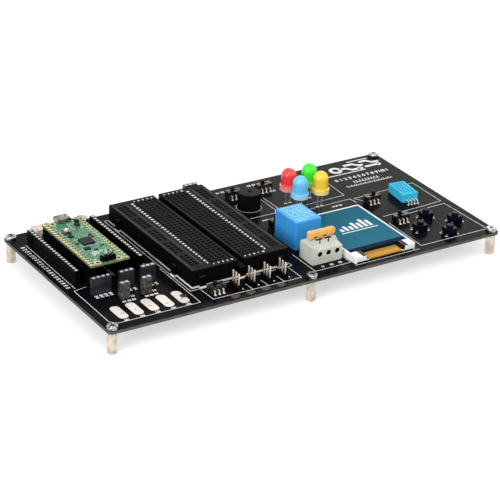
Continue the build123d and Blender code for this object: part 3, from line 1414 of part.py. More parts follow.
def lamp_frame(x, y):
    """The two legs of a lamp, with the cup and the post that stand inside its lens."""
    legs = []
    gap = LAMP_FRAME_GAP / 2
    half = LAMP_LEG_SIDE / 2
    bottom = LAMP_STAND + LAMP_FLANGE_HEIGHT
    top = LAMP_STAND + LAMP_FRAME_HEIGHT
    for side, width in ((-1, LAMP_POST_WIDTH), (1, LAMP_CUP_WIDTH)):
        leg_x = x + side * PITCH / 2
        leg = block(leg_x - half, leg_x + half, y - half, y + half, PIN_BOTTOM, bottom)
        inner = x + side * gap
        outer = x + side * (gap + width)
        head = block(
            min(inner, outer), max(inner, outer),
            y - LAMP_FRAME_DEPTH / 2, y + LAMP_FRAME_DEPTH / 2,
            bottom, top,
        )
        legs.append(leg + head)
        drill(leg_x, y)
    return legs


def lamp_lens(x, y, legs):
    """The lens: a flange with one flat, a round body and a dome, cast around the legs."""
    radius = LAMP_DIAMETER / 2
    flange = LAMP_FLANGE_DIAMETER / 2
    dome_z = LAMP_LENGTH - radius
    outline = [
        Line((0, 0), (flange, 0)),
        Line((flange, 0), (flange, LAMP_FLANGE_HEIGHT)),
        Line((flange, LAMP_FLANGE_HEIGHT), (radius, LAMP_FLANGE_HEIGHT)),
        Line((radius, LAMP_FLANGE_HEIGHT), (radius, dome_z)),
        RadiusArc((radius, dome_z), (0, LAMP_LENGTH), -radius),
        Line((0, LAMP_LENGTH), (0, 0)),
    ]
    lens = revolve(Plane.XZ * make_face(Curve() + outline), Axis.Z)
    lens -= block(
        -LAMP_FLANGE_DIAMETER, -LAMP_FLANGE_FLAT, -flange, flange, 0, LAMP_FLANGE_HEIGHT
    )
    return Pos(x, y, LAMP_STAND) * lens - legs


def make_lamps():
    """Four lamps on their legs."""
    all_legs = []
    for colour, column, row in LAMP_COLOURS:
        x = OUTPUT_X + LAMP_COLUMNS[column]
        y = LAMP_ROWS[row]
        legs = lamp_frame(x, y)
        save(f"lamp_{colour}", [lamp_lens(x, y, legs)])
        all_legs += legs
    save("lamp_legs", all_legs)


# Humidity sensor

def make_sensor():
    """The gridded case, with the sensor card and its four bent pins."""
    half_width = SENSOR_WIDTH / 2
    half_length = SENSOR_LENGTH / 2
    top = SENSOR_BOTTOM + SENSOR_HEIGHT
    case = block(-half_width, half_width, -half_length, half_length, SENSOR_BOTTOM, top)
    case = fillet(case.edges().filter_by(Axis.Z), SENSOR_CORNER_RADIUS)
    wall = SENSOR_WALL
    case -= block(
        -half_width + wall, half_width - wall,
        -half_length + wall, half_length - wall,
        SENSOR_BOTTOM, top - wall,
    )
    slots = []
    for column in range(SENSOR_GRID_COLUMNS):
        for row in range(SENSOR_GRID_ROWS):
            x = (column - (SENSOR_GRID_COLUMNS - 1) / 2) * SENSOR_GRID_PITCH_X
            y = (row - (SENSOR_GRID_ROWS - 1) / 2) * SENSOR_GRID_PITCH_Y + SENSOR_GRID_SHIFT
            slots.append(post(x, y, SENSOR_SLOT_WIDTH, SENSOR_SLOT_LENGTH, top - wall, top))
    case -= slots
    pins = []
    turn = Pos(INPUT_X + SENSOR_X, SENSOR_Y, 0) * Rot(0, 0, SENSOR_TURN)
    metal = SENSOR_PIN_METAL
    inner_front = -half_length + wall
    card_top = SENSOR_PIN_HEIGHT
    card = block(
        -half_width + wall, half_width - wall, -half_length + wall, half_length - wall,
        card_top - SENSOR_CARD_THICKNESS, card_top,
    )
    out = -half_length - SENSOR_PIN_REACH
    for index in range(SENSOR_PIN_COUNT):
        x = (index - (SENSOR_PIN_COUNT - 1) / 2) * SENSOR_PIN_PITCH + SENSOR_PIN_SHIFT
        pin_half = SENSOR_PIN_WIDTH / 2
        level = block(x - pin_half, x + pin_half, out, -half_length + 2 * wall, card_top, card_top + metal)
        drop = block(x - pin_half, x + pin_half, out, out + metal, PIN_BOTTOM, card_top)
        pin_top = card_top + metal
        case -= block(x - pin_half, x + pin_half, -half_length, inner_front, SENSOR_BOTTOM, pin_top)
        pins.append(level + drop)
        hole = turn * Pos(x, out + metal / 2, 0)
        drill(hole.position.X, hole.position.Y)
    side = SENSOR_ELEMENT_SIDE
    element = post(0, 0, side, side, card_top, card_top + SENSOR_ELEMENT_HEIGHT)
    save("sensor_case", [turn * case])
    save("sensor_pins", [turn * piece for piece in pins + [card, element]])


# Push buttons

def button_places():
    """The four buttons, in a diamond."""
    x = INPUT_X + BUTTON_CENTRE_X
    return [(x + dx * BUTTON_STEP_X, BUTTON_CENTRE_Y + dy * BUTTON_STEP_Y) for dx, dy in BUTTON_PLACES]


def button_base(x, y):
    """The body with its well, the hole for the cap and the grooves that hold the legs."""
    ceiling = BUTTON_BODY_HEIGHT - BUTTON_TOP_THICKNESS
    body = post(x, y, BUTTON_SIDE, BUTTON_SIDE, 0, BUTTON_BODY_HEIGHT)
    body = fillet(body.edges().filter_by(Axis.Z), BUTTON_CORNER_RADIUS)
    body -= rod(x, y, BUTTON_WELL_DIAMETER, BUTTON_FLOOR, ceiling)
    return body - rod(x, y, BUTTON_CAP_DIAMETER + 2 * GLIDE_CLEARANCE, ceiling, BUTTON_BODY_HEIGHT)


def button_cap(x, y):
    """The cap: a round plunger on a flange that the body holds in."""
    flange_top = BUTTON_BODY_HEIGHT - BUTTON_TOP_THICKNESS - SNUG_CLEARANCE
    cap = rod(x, y, BUTTON_CAP_DIAMETER, flange_top, BUTTON_CAP_TOP)
    cap = fillet(cap.edges().group_by(Axis.Z)[-1], BUTTON_CAP_DIAMETER / 12)
    return cap + rod(x, y, BUTTON_FLANGE_DIAMETER, flange_top - BUTTON_FLANGE_THICKNESS, flange_top)


def button_metal(x, y):
    """The snap dome on the floor of the well, and four bent legs."""
    flange_bottom = BUTTON_BODY_HEIGHT - BUTTON_TOP_THICKNESS - SNUG_CLEARANCE - BUTTON_FLANGE_THICKNESS
    crown = flange_bottom - BUTTON_TRAVEL - SNUG_CLEARANCE
    radius = BUTTON_DOME_DIAMETER / 2
    outline = Polyline(
        (radius - BUTTON_DOME_METAL, BUTTON_FLOOR),
        (radius, BUTTON_FLOOR),
        (radius / 2, crown),
        (0, crown),
        (0, crown - BUTTON_DOME_METAL),
        (radius / 2 - BUTTON_DOME_METAL, crown - BUTTON_DOME_METAL),
        close=True,
    )
    pieces = [Pos(x, y, 0) * revolve(Plane.XZ * make_face(outline), Axis.Z)]
    metal = BUTTON_LEG_METAL
    side_x = BUTTON_SIDE / 2
    for side in (-1, 1):
        for end in (-1, 1):
            leg_y = y + end * BUTTON_LEG_SPACING / 2
            start = x + side * side_x
            outside = start + side * (BUTTON_LEG_STANDOFF + metal)
            inside = start + side * BUTTON_LEG_STANDOFF
            half = BUTTON_LEG_WIDTH / 2
            arm = block(
                min(start, outside), max(start, outside), leg_y - half, leg_y + half,
                BUTTON_LEG_HEIGHT - metal, BUTTON_LEG_HEIGHT,
            )
            drop = block(
                min(inside, outside), max(inside, outside), leg_y - half, leg_y + half,
                PIN_BOTTOM, BUTTON_LEG_HEIGHT - metal,
            )
            pieces.append(arm + drop)
            drill((inside + outside) / 2, leg_y)
    return pieces


def make_buttons():
    """The bases and the metal in groups, and each cap in a node of its own."""
    places = button_places()
    save("button_bases", [button_base(*place) for place in places])
    save("button_metal", [piece for place in places for piece in button_metal(*place)])
    for number, place in enumerate(places, 1):
        save(f"button_cap_{number}", [button_cap(*place)])


def make_module():
    """The module's pieces."""
    save("module_board", [module_board()])
    save("module_pin_strips", module_pin_strips())
    save("module_pins", module_pins())
    save("module_chips", module_chips())
    save("module_metal_cases", [data_socket_shell(), start_button_case()])
    save("module_button", [module_button()])


def main():
    """Writes every node; the board comes last, when all its holes are known."""
    os.makedirs("parts", exist_ok=True)
    make_sockets()
    save("supply_inlet", [supply_inlet()])
    save("supply_capacitor", supply_capacitor())
    make_module()
    make_breadboard()
    save("touch_pads", touch_pads())
    make_servo_headers()
    make_slide_switches()
    make_relay()
    make_terminal()
    make_display()
    sounder = (OUTPUT_X + SOUNDER_X, SOUNDER_Y)
    save("sounder_case", [sounder_case(*sounder)])
    save("sounder_driver", sounder_driver(*sounder))
    make_lamps()
    make_sensor()
    make_buttons()
    save("board_screws", [board_screw(*place) for place in screw_places()])
    save("board_standoffs", [board_standoff(*place) for place in screw_places()])
    save("main_board", [main_board()])


main()
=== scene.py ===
"""Dresses and lights an electronics experiment board.

The board is a black circuit board on six stand-offs. It carries a microcontroller module in sockets, a
breadboard, a sounder, four lamps, a relay, a wire terminal, a display, a humidity sensor, slide switches,
push buttons and touch pads. Sizes are millimetres in board coordinates: X from the board's left edge,
Y from its front edge, Z from its top face. The Studio class holds the floor, the lights and the camera.
"""

from __future__ import annotations

import logging
import math
from dataclasses import dataclass, field
from enum import Enum

import bmesh
import bpy
from mathutils import Matrix, Vector


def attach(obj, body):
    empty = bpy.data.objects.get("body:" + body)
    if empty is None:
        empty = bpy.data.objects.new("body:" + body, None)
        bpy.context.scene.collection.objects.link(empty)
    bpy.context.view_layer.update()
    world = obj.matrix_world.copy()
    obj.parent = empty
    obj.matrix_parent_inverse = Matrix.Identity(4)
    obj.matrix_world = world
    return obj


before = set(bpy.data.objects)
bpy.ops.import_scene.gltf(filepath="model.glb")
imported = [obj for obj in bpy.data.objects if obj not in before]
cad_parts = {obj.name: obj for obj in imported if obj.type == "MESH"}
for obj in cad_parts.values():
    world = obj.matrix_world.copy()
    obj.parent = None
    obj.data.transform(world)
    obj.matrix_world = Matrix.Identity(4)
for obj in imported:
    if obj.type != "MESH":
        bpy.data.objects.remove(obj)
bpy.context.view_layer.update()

MM = 0.001
BOARD_WIDTH = 226.5
BOARD_DEPTH = 111.0
BOARD_THICKNESS = 1.6
BOARD_TOP = 12.6
PITCH = 2.54
# The Y of the first way of both long sockets.
FIRST_WAY = 47.9
# How high print stands over its surface, so that it shows.
INK = 0.03
# Most of a noise pattern's values lie between these two.
NOISE_LOW = 0.35
NOISE_HIGH = 0.65
# A face whose normal's Z is over this looks up.
UPWARD = 0.5
# A capital's height as a share of the plain face's size.
CAPITAL = 0.7
SMOOTH_ANGLE = math.radians(40)

Point = tuple[float, float]
Span = tuple[float, float]
Socket = bpy.types.NodeSocket
Tree = bpy.types.NodeTree

log = logging.getLogger("experiment_board")


def hex_to_linear(code: str) -> tuple[float, float, float, float]:
    """Turns an sRGB hex colour into a linear one.

    Args:
        code: six hex digits after a hash.

    Returns:
        Red, green, blue and an alpha of 1.
    """
    channels = []
    for start in (1, 3, 5):
        value = int(code[start : start + 2], 16) / 255
        channels.append(value / 12.92 if value <= 0.04045 else ((value + 0.055) / 1.055) ** 2.4)
    return (*channels, 1.0)


def place(x: float, y: float, z: float = 0.0) -> Vector:
    """Turns board coordinates in millimetres into the frame's metres.

    Args:
        x: distance from the left edge.
        y: distance from the front edge.
        z: height over the board's top face.

    Returns:
        The point in the frame.
    """
    return Vector(((x - BOARD_WIDTH / 2) * MM, (y - BOARD_DEPTH / 2) * MM, (z + BOARD_TOP) * MM))


def add_node(
    tree: Tree,
    kind: str,
    settings: dict[str | int, object] | None = None,
    links: dict[str | int, Socket] | None = None,
) -> bpy.types.Node:
    """Adds a node with its settings and links.

    Args:
        tree: the node tree that gets the node.
        kind: the node's type, such as ShaderNodeBump.
        settings: values by attribute name, or by input name or number; a hex colour is made linear.
        links: output sockets by the input's name or number.

    Returns:
        The new node.
    """
    node = tree.nodes.new(kind)
    for key, value in (settings or {}).items():
        if isinstance(key, str) and hasattr(node, key):
            setattr(node, key, value)
        elif isinstance(value, str):
            node.inputs[key].default_value = hex_to_linear(value)
        else:
            node.inputs[key].default_value = value
    for key, socket in (links or {}).items():
        tree.links.new(socket, node.inputs[key])
    return node


class Side(Enum):
    """The two sides of a strip or a row."""

    LEFT = -1
    RIGHT = 1


class Axis(Enum):
    """The direction that drawing lines or bands follow."""

    X = "X"
    Y = "Y"
    Z = "Z"


# Finishes


@dataclass(frozen=True)
class Finish:
    """A finish that turns into one material."""

    name: str

    def material(self) -> bpy.types.Material:
        """Builds the material once and returns it on later calls.

        Returns:
            The material with this finish's nodes.
        """
        known = bpy.data.materials.get(self.name)
        if known:
            return known
        material = bpy.data.materials.new(self.name)
        material.use_nodes = True
        tree = material.node_tree
        tree.nodes.clear()
        shader = add_node(tree, "ShaderNodeBsdfPrincipled")
        add_node(tree, "ShaderNodeOutputMaterial", None, {"Surface": shader.outputs["BSDF"]})
        self.paint(tree, shader)
        return material

    def paint(self, tree: Tree, shader: bpy.types.Node) -> None:
        """Adds this finish's nodes.

        Args:
            tree: the material's node tree.
            shader: its principled shader.
        """
        raise NotImplementedError

    def patches(
        self,
        tree: Tree,
        size_mm: float,
        low: float = 0.0,
        high: float = 1.0,
        stretch: tuple[float, float, float] = (1.0, 1.0, 1.0),
    ) -> Socket:
        """Soft random patches of a real size, as a value that runs between two others.

        Args:
            tree: the material's node tree.
            size_mm: how far apart the patches lie.
            low: the value in one kind of patch.
            high: the value in the other kind.
            stretch: the scale along each axis; a small number draws the patches out along it.

        Returns:
            The value.
        """
        here = add_node(tree, "ShaderNodeTexCoord").outputs["Object"]
        drawn = add_node(tree, "ShaderNodeMapping", {"Scale": stretch}, {"Vector": here})
        grain = {"Scale": 1 / (size_mm * MM), "Detail": 2.0}
        noise = add_node(tree, "ShaderNodeTexNoise", grain, {"Vector": drawn.outputs["Vector"]})
        spread = {"From Min": NOISE_LOW, "From Max": NOISE_HIGH, "To Min": low, "To Max": high}
        return add_node(tree, "ShaderNodeMapRange", spread, {"Value": noise.outputs["Fac"]}).outputs[0]

    def clouded(self, tree: Tree, colour: str, shade: str, size_mm: float) -> Socket:
        """One colour with soft patches of another.

        Args:
            tree: the material's node tree.
            colour: the colour.
            shade: the patches' colour.
            size_mm: how far apart the patches lie.

        Returns:
            The colour.
        """
        share = self.patches(tree, size_mm)
        colours = {"data_type": "RGBA", 6: colour, 7: shade}
        return add_node(tree, "ShaderNodeMix", colours, {0: share}).outputs[2]

    def beyond(self, tree: Tree, axis: Axis, start_mm: float, end_mm: float) -> Socket:
        """A share that rises from 0 to 1 between two places along an axis of the board.

        Args:
            tree: the material's node tree.
            axis: the axis.
            start_mm: where the share is 0, in the frame's millimetres.
            end_mm: where it is 1.

        Returns:
            The share.
        """
        here = add_node(tree, "ShaderNodeTexCoord").outputs["Object"]
        parts = add_node(tree, "ShaderNodeSeparateXYZ", None, {"Vector": here}).outputs
        span = {"From Min": start_mm * MM, "From Max": end_mm * MM}
        return add_node(tree, "ShaderNodeMapRange", span, {"Value": parts[axis.value]}).outputs[0]

    def surface(
        self,
        tree: Tree,
        shader: bpy.types.Node,
        colour: Socket,
        height: Socket,
        depth_mm: float,
        roughness: Socket | float,
        plain: dict[str, object] | None = None,
    ) -> None:
        """Gives the shader its colour, its relief, its gloss and its plain settings.

        Args:
            tree: the material's node tree.
            shader: its principled shader.
            colour: the colour.
            height: the relief's pattern, from 0 to 1.
            depth_mm: the relief's depth.
            roughness: the roughness, as a pattern or a number.
            plain: values or patterns by the name of the shader's input.
        """
        bump = add_node(tree, "ShaderNodeBump", {"Distance": depth_mm * MM}, {"Height": height})
        wanted = {"Base Color": colour, "Normal": bump.outputs["Normal"], "Roughness": roughness}
        for name, value in (wanted | (plain or {})).items():
            if isinstance(value, Socket):
                tree.links.new(value, shader.inputs[name])
            else:
                shader.inputs[name].default_value = value


@dataclass(frozen=True)
class MouldedPlastic(Finish):
    """Injection-moulded plastic: an even colour with faint clouds and a fine spark-eroded grain.

    The grain breaks the highlight up a little, which is what tells moulded plastic from paint.
    """

    colour: str
    shade: str
    roughness: float = 0.4
    specular: float = 0.5
    grain_mm: float = 0.4
    grain_depth_mm: float = 0.01
    cloud_mm: float = 6.0
    milkiness: float = 0.0
    depth_mm: float = 0.8
    # A colour for the faces that do not look up: painted shade on the sides. Empty for none.
    side: str = ""
    gloss: Span = (0.85, 1.15)

    def paint(self, tree: Tree, shader: bpy.types.Node) -> None:
        """Adds the clouds, the grain, the painted shade on faces that do not look up, where a side colour
        is given, and, in a pale plastic, the light inside it.

        Args:
            tree: the material\'s node tree.
            shader: its principled shader.
        """
        tint = self.clouded(tree, self.colour, self.shade, self.cloud_mm)
        # Faces that do not look up take the side colour, as painted shade.
        if self.side:
            normal = add_node(tree, "ShaderNodeTexCoord").outputs["Normal"]
            rise = add_node(tree, "ShaderNodeSeparateXYZ", None, {"Vector": normal}).outputs["Z"]
            test = {"operation": "GREATER_THAN", 1: UPWARD}
            up = add_node(tree, "ShaderNodeMath", test, {0: rise}).outputs[0]
            colours = {"data_type": "RGBA", 6: self.side}
            tint = add_node(tree, "ShaderNodeMix", colours, {0: up, 7: tint}).outputs[2]
        grain = self.patches(tree, self.grain_mm)
        low, high = self.gloss
        gloss = self.patches(tree, self.grain_mm, self.roughness * low, self.roughness * high)
        plain = {"Specular IOR Level": self.specular}
        if self.milkiness:
            plain["Subsurface Weight"] = self.milkiness
            plain["Subsurface Radius"] = (1.0, 0.8, 0.6)
            plain["Subsurface Scale"] = self.depth_mm * MM
        self.surface(tree, shader, tint, grain, self.grain_depth_mm, gloss, plain)


@dataclass(frozen=True)
class PlatedMetal(Finish):
    """Plated or bare metal: a soft polish with fine drawing lines and faint stains; in the switch covers
    the stains are near-black painted reflections.

    The lines run along one axis and stretch the highlight across them. Real ones are a few hundredths
    of a millimetre apart, so they are drawn about four times as coarse to show at all.
    """

    colour: str
    # The stains' colour; in the switch covers, painted dark reflections.
    stain: str
    roughness: float = 0.3
    along: Axis = Axis.Z
    line_mm: float = 0.12
    line_depth_mm: float = 0.003
    stain_mm: float = 1.8
    gloss: Span = (0.8, 1.25)
    drawn_out: float = 0.05

    def paint(self, tree: Tree, shader: bpy.types.Node) -> None:
        """Adds the stains, which in the switch covers are painted dark reflections, the drawing lines and
        their effect on the gloss.

        Args:
            tree: the material\'s node tree.
            shader: its principled shader.
        """
        stretch = tuple(self.drawn_out if axis is self.along else 1.0 for axis in Axis)
        lines = self.patches(tree, self.line_mm, 0.0, 1.0, stretch)
        low, high = self.gloss
        gloss = self.patches(tree, self.line_mm, self.roughness * low, self.roughness * high, stretch)
        tint = self.clouded(tree, self.colour, self.stain, self.stain_mm)
        self.surface(tree, shader, tint, lines, self.line_depth_mm, gloss, {"Metallic": 1.0})


@dataclass(frozen=True)
class SolderMask(Finish):
    """Glass-fibre laminate under a sprayed solder mask, with a sawn edge.

    The mask is glossy and shows the copper tracks under it as a faint relief. The edge is bare resin
    and glass, in layers 0.2 mm thick.
    """

    mask: str
    track: str
    edge: str
    edge_layer: str
    roughness: float = 0.2
    specular: float = 0.5
    track_mm: float = 2.2
    track_height_mm: float = 0.03
    track_rim: Span = (0.06, 0.1)
    layer_mm: float = 0.2
    layer_stretch: tuple[float, float, float] = (0.06, 0.06, 1.0)
    edge_roughness: float = 0.75
    spray_mm: float = 14.0
    gloss: Span = (0.8, 1.25)

    def paint(self, tree: Tree, shader: bpy.types.Node) -> None:
        """Adds the tracks under the mask, the layers on the edge and the mask's gloss.

        Args:
            tree: the material\'s node tree.
            shader: its principled shader.
        """
        coords = add_node(tree, "ShaderNodeTexCoord").outputs
        scale = 1 / (self.track_mm * MM)
        net = {"feature": "DISTANCE_TO_EDGE", "distance": "CHEBYCHEV", "Scale": scale}
        cells = add_node(tree, "ShaderNodeTexVoronoi", net, {"Vector": coords["Object"]})
        inner, outer = self.track_rim
        rim = {"From Min": inner, "From Max": outer, "To Min": 1.0, "To Max": 0.0}
        copper = add_node(tree, "ShaderNodeMapRange", rim, {"Value": cells.outputs["Distance"]}).outputs[0]
        covered = {"data_type": "RGBA", 6: self.mask, 7: self.track}
        face = add_node(tree, "ShaderNodeMix", covered, {0: copper}).outputs[2]
        layers = self.patches(tree, self.layer_mm, 0.0, 1.0, self.layer_stretch)
        sawn = {"data_type": "RGBA", 6: self.edge, 7: self.edge_layer}
        side = add_node(tree, "ShaderNodeMix", sawn, {0: layers}).outputs[2]
        rise = add_node(tree, "ShaderNodeSeparateXYZ", None, {"Vector": coords["Normal"]}).outputs["Z"]
        tilt = add_node(tree, "ShaderNodeMath", {"operation": "ABSOLUTE"}, {0: rise}).outputs[0]
        test = {"operation": "GREATER_THAN", 1: UPWARD}
        flat = add_node(tree, "ShaderNodeMath", test, {0: tilt}).outputs[0]
        both = {0: flat, 6: side, 7: face}
        tint = add_node(tree, "ShaderNodeMix", {"data_type": "RGBA"}, both).outputs[2]
        low, high = self.gloss
        spray = self.patches(tree, self.spray_mm, self.roughness * low, self.roughness * high)
        rough = {"data_type": "FLOAT", 2: self.edge_roughness}
        gloss = add_node(tree, "ShaderNodeMix", rough, {0: flat, 3: spray}).outputs[0]
        plain = {"Specular IOR Level": self.specular}
        self.surface(tree, shader, tint, copper, self.track_height_mm, gloss, plain)


@dataclass(frozen=True)
class ThinLayer(Finish):
    """A thin matt layer, such as printed ink, dark marks or painted shade, that is uneven in fine spots.
    """

    colour: str
    thin: str
    spot_mm: float = 0.3
    relief_mm: float = 0.004
    roughness: float = 0.55

    def paint(self, tree: Tree, shader: bpy.types.Node) -> None:
        """Adds the thin spots.

        Args:
            tree: the material\'s node tree.
            shader: its principled shader.
        """
        tint = self.clouded(tree, self.colour, self.thin, self.spot_mm)
        spots = self.patches(tree, self.spot_mm)
        self.surface(tree, shader, tint, spots, self.relief_mm, self.roughness)


@dataclass(frozen=True)
class LampResin(Finish):
    """Cast epoxy, tinted and made milky, as diffused lamps have.

    Light spreads inside it, so the lens looks full of colour; the paling towards its flange is painted, as
    light that passes through the thin resin there.
    """

    colour: str
    pale: str
    pale_z: float = 20.4
    full_z: float = 24.6
    flow_mm: float = 2.5
    flow_depth_mm: float = 0.01
    roughness: Span = (0.1, 0.18)
    refraction: float = 1.53
    milkiness: float = 0.3
    spread_mm: float = 2.0

    def paint(self, tree: Tree, shader: bpy.types.Node) -> None:
        """Adds the flange painted pale as light, the light inside the resin and a faint flow in its gloss.

        Args:
            tree: the material\'s node tree.
            shader: its principled shader.
        """
        # Pale at the flange, full colour above it: painted light.
        share = self.beyond(tree, Axis.Z, self.pale_z, self.full_z)
        colours = {"data_type": "RGBA", 6: self.pale, 7: self.colour}
        tint = add_node(tree, "ShaderNodeMix", colours, {0: share}).outputs[2]
        flow = self.patches(tree, self.flow_mm)
        gloss = self.patches(tree, self.flow_mm, *self.roughness)
        plain = {
            "IOR": self.refraction,
            "Subsurface Weight": self.milkiness,
            "Subsurface Radius": (1.0, 0.9, 0.8),
            "Subsurface Scale": self.spread_mm * MM,
        }
        self.surface(tree, shader, tint, flow, self.flow_depth_mm, gloss, plain)


@dataclass(frozen=True)
class DisplayPanel(Finish):
    """A display: an even picture under polished glass, and the dark ledge of its contacts."""

    back: str
    front: str
    ledge: str
    ledge_y: float
    back_y: float
    ledge_blur_mm: float = 0.05
    row_mm: float = 0.4
    row_depth_mm: float = 0.0005
    roughness: float = 0.16
    refraction: float = 1.52
    specular: float = 0.008

    def paint(self, tree: Tree, shader: bpy.types.Node) -> None:
        """Adds the picture's shading from front to back, the ledge and the fine pixel rows.

        Args:
            tree: the material\'s node tree.
            shader: its principled shader.
        """
        start = self.ledge_y - BOARD_DEPTH / 2
        deep = self.beyond(tree, Axis.Y, start, self.back_y - BOARD_DEPTH / 2)
        shades = {"data_type": "RGBA", 6: self.front, 7: self.back}
        picture = add_node(tree, "ShaderNodeMix", shades, {0: deep}).outputs[2]
        lit = self.beyond(tree, Axis.Y, start - self.ledge_blur_mm, start + self.ledge_blur_mm)
        dark = {"data_type": "RGBA", 6: self.ledge}
        tint = add_node(tree, "ShaderNodeMix", dark, {0: lit, 7: picture}).outputs[2]
        # Pixel rows are 0.18 mm apart; they are drawn 0.4 mm apart, as a texture that can just be felt.
        rows = self.patches(tree, self.row_mm, 0.0, 1.0, (0.05, 1.0, 1.0))
        plain = {"IOR": self.refraction, "Specular IOR Level": self.specular}
        self.surface(tree, shader, tint, rows, self.row_depth_mm, self.roughness, plain)


@dataclass(frozen=True)
class PolyimideRibbon(Finish):
    """Amber polyimide film over etched copper lines, which show through as lighter stripes."""

    film: str
    copper: str
    line_mm: float = 0.9
    line_height_mm: float = 0.02
    wrinkle_mm: float = 3.0
    roughness: Span = (0.25, 0.4)
    specular: float = 0.3

    def paint(self, tree: Tree, shader: bpy.types.Node) -> None:
        """Adds the copper lines.

        Args:
            tree: the material\'s node tree.
            shader: its principled shader.
        """
        here = add_node(tree, "ShaderNodeTexCoord").outputs["Object"]
        # A wave pattern of scale 1 repeats every pi / 10 units.
        bands = {"bands_direction": "X", "Scale": math.pi / 10 / (self.line_mm * MM)}
        waves = add_node(tree, "ShaderNodeTexWave", bands, {"Vector": here}).outputs["Fac"]
        colours = {"data_type": "RGBA", 6: self.film, 7: self.copper}
        tint = add_node(tree, "ShaderNodeMix", colours, {0: waves}).outputs[2]
        gloss = self.patches(tree, self.wrinkle_mm, *self.roughness)
        plain = {"Specular IOR Level": self.specular}
        self.surface(tree, shader, tint, waves, self.line_height_mm, gloss, plain)


@dataclass(frozen=True)
class FoamTape(Finish):
    """Closed-cell foam tape: white, matt and pitted."""

    colour: str
    pit: str
    cell_mm: float = 0.3
    pit_depth_mm: float = 0.04
    roughness: float = 0.85

    def paint(self, tree: Tree, shader: bpy.types.Node) -> None:
        """Adds the foam's cells.

        Args:
            tree: the material\'s node tree.
            shader: its principled shader.
        """
        here = add_node(tree, "ShaderNodeTexCoord").outputs["Object"]
        scale = {"Scale": 1 / (self.cell_mm * MM)}
        pits = add_node(tree, "ShaderNodeTexVoronoi", scale, {"Vector": here}).outputs["Distance"]
        colours = {"data_type": "RGBA", 6: self.pit, 7: self.colour}
        tint = add_node(tree, "ShaderNodeMix", colours, {0: pits}).outputs[2]
        self.surface(tree, shader, tint, pits, self.pit_depth_mm, self.roughness)


@dataclass(frozen=True)
class SolderedTin(Finish):
    """Hot-dipped tin: pale, with slow waves where the solder froze and duller patches of flux."""

    colour: str
    dull: str
    wave_mm: float = 1.4
    wave_depth_mm: float = 0.06
    roughness: float = 0.38
    metal: float = 0.6
    dull_mm: float = 0.9

    def paint(self, tree: Tree, shader: bpy.types.Node) -> None:
        """Adds the frozen waves and the dull patches.

        Args:
            tree: the material\'s node tree.
            shader: its principled shader.
        """
        tint = self.clouded(tree, self.colour, self.dull, self.dull_mm)
        waves = self.patches(tree, self.wave_mm)
        plain = {"Metallic": self.metal}
        self.surface(tree, shader, tint, waves, self.wave_depth_mm, self.roughness, plain)


@dataclass(frozen=True)
class SleevedCan(Finish):
    """An aluminium can in a heat-shrunk sleeve: the sleeve is black and the top is bare metal."""

    sleeve: str
    top: str
    top_z: float
    seam_mm: float = 0.05
    turned_mm: float = 0.4
    turned_depth_mm: float = 0.01
    roughness: float = 0.35
    specular: float = 0.2

    def paint(self, tree: Tree, shader: bpy.types.Node) -> None:
        """Adds the bare top over the sleeve, with a fine turned texture.

        Args:
            tree: the material\'s node tree.
            shader: its principled shader.
        """
        level = self.top_z + BOARD_TOP
        bare = self.beyond(tree, Axis.Z, level - self.seam_mm, level + self.seam_mm)
        colours = {"data_type": "RGBA", 6: self.sleeve, 7: self.top}
        tint = add_node(tree, "ShaderNodeMix", colours, {0: bare}).outputs[2]
        turned = self.patches(tree, self.turned_mm)
        plain = {"Metallic": bare, "Specular IOR Level": self.specular}
        self.surface(tree, shader, tint, turned, self.turned_depth_mm, self.roughness, plain)


# Solder mask sprayed on woven glass and epoxy: near black and glossy, with a grey-green sawn edge.
BLACK_MASK = SolderMask(
    "solder_mask_black_sprayed", "#0b0c0e", "#101114", "#6f7268", "#4c4f49", 0.14, 0.022
)
# The module's laminate: a green mask over copper that shows as a lighter green net.
GREEN_MASK = SolderMask(
    "solder_mask_green_sprayed", "#2f7352", "#5aa680", "#8e8a5c", "#5d5b40", 0.2, 0.35, 1.3
)
# Nickel on brass bar, turned and milled: warm, pale and softly drawn.
STANDOFF_NICKEL = PlatedMetal("brass_nickel_plated_turned", "#ddd4c6", "#b9ad9d", 0.36, stain_mm=3.5)
# Nickel on steel, cold-headed: the brightest metal on the board.
SCREW_NICKEL = PlatedMetal(
    "steel_nickel_plated_headed", "#d2d4d1", "#505656", 0.2, line_mm=0.3, stain_mm=1.1
)
# Tin on steel strip, stamped and folded: grey with soft bright bends.
STAMPED_STEEL = PlatedMetal("steel_tinned_stamped", "#b5b2ab", "#5e5c59", 0.25, Axis.X, stain_mm=1.2)
# Steel switch covers: dark and brownish, with near-black patches that are painted dark reflections, so
# only their bends catch light.
COVER_STEEL = PlatedMetal("steel_stamped_painted_reflections", "#7c7068", "#0f0d0b", 0.34, Axis.X, stain_mm=1.9)
# Gold flash on bronze: thin, so it reads pale and slightly pink.
GOLD_FLASH = PlatedMetal("bronze_gold_flashed_drawn", "#fff2e6", "#f0d8bf", 0.42)
# The module's pins, gold over bronze but rubbed by their sockets: duller and browner.
GOLD_PIN = PlatedMetal("bronze_gold_flashed_rubbed", "#d9cda6", "#8a7c5e", 0.4)
# Bronze strip with a thin coat of tin, rolled and folded to springs.
SPRING_BRONZE = PlatedMetal("bronze_tinned_rolled", "#c9c2b4", "#8d8577", 0.35)
# Tinned steel wire and strip, as most leads are: pale and soft.
TINNED_LEADS = PlatedMetal("steel_tinned_drawn", "#faf8f2", "#d6d4ce", 0.45)
# Soft iron, galvanised: grey and slightly cloudy.
RELAY_IRON = PlatedMetal("iron_galvanised_stamped", "#b9babb", "#8c8d90", 0.4)
# Copper alloy, stamped and left bare: brown and warm.
RELAY_COPPER = PlatedMetal("copper_alloy_stamped", "#c98e5f", "#9a6a45", 0.35)
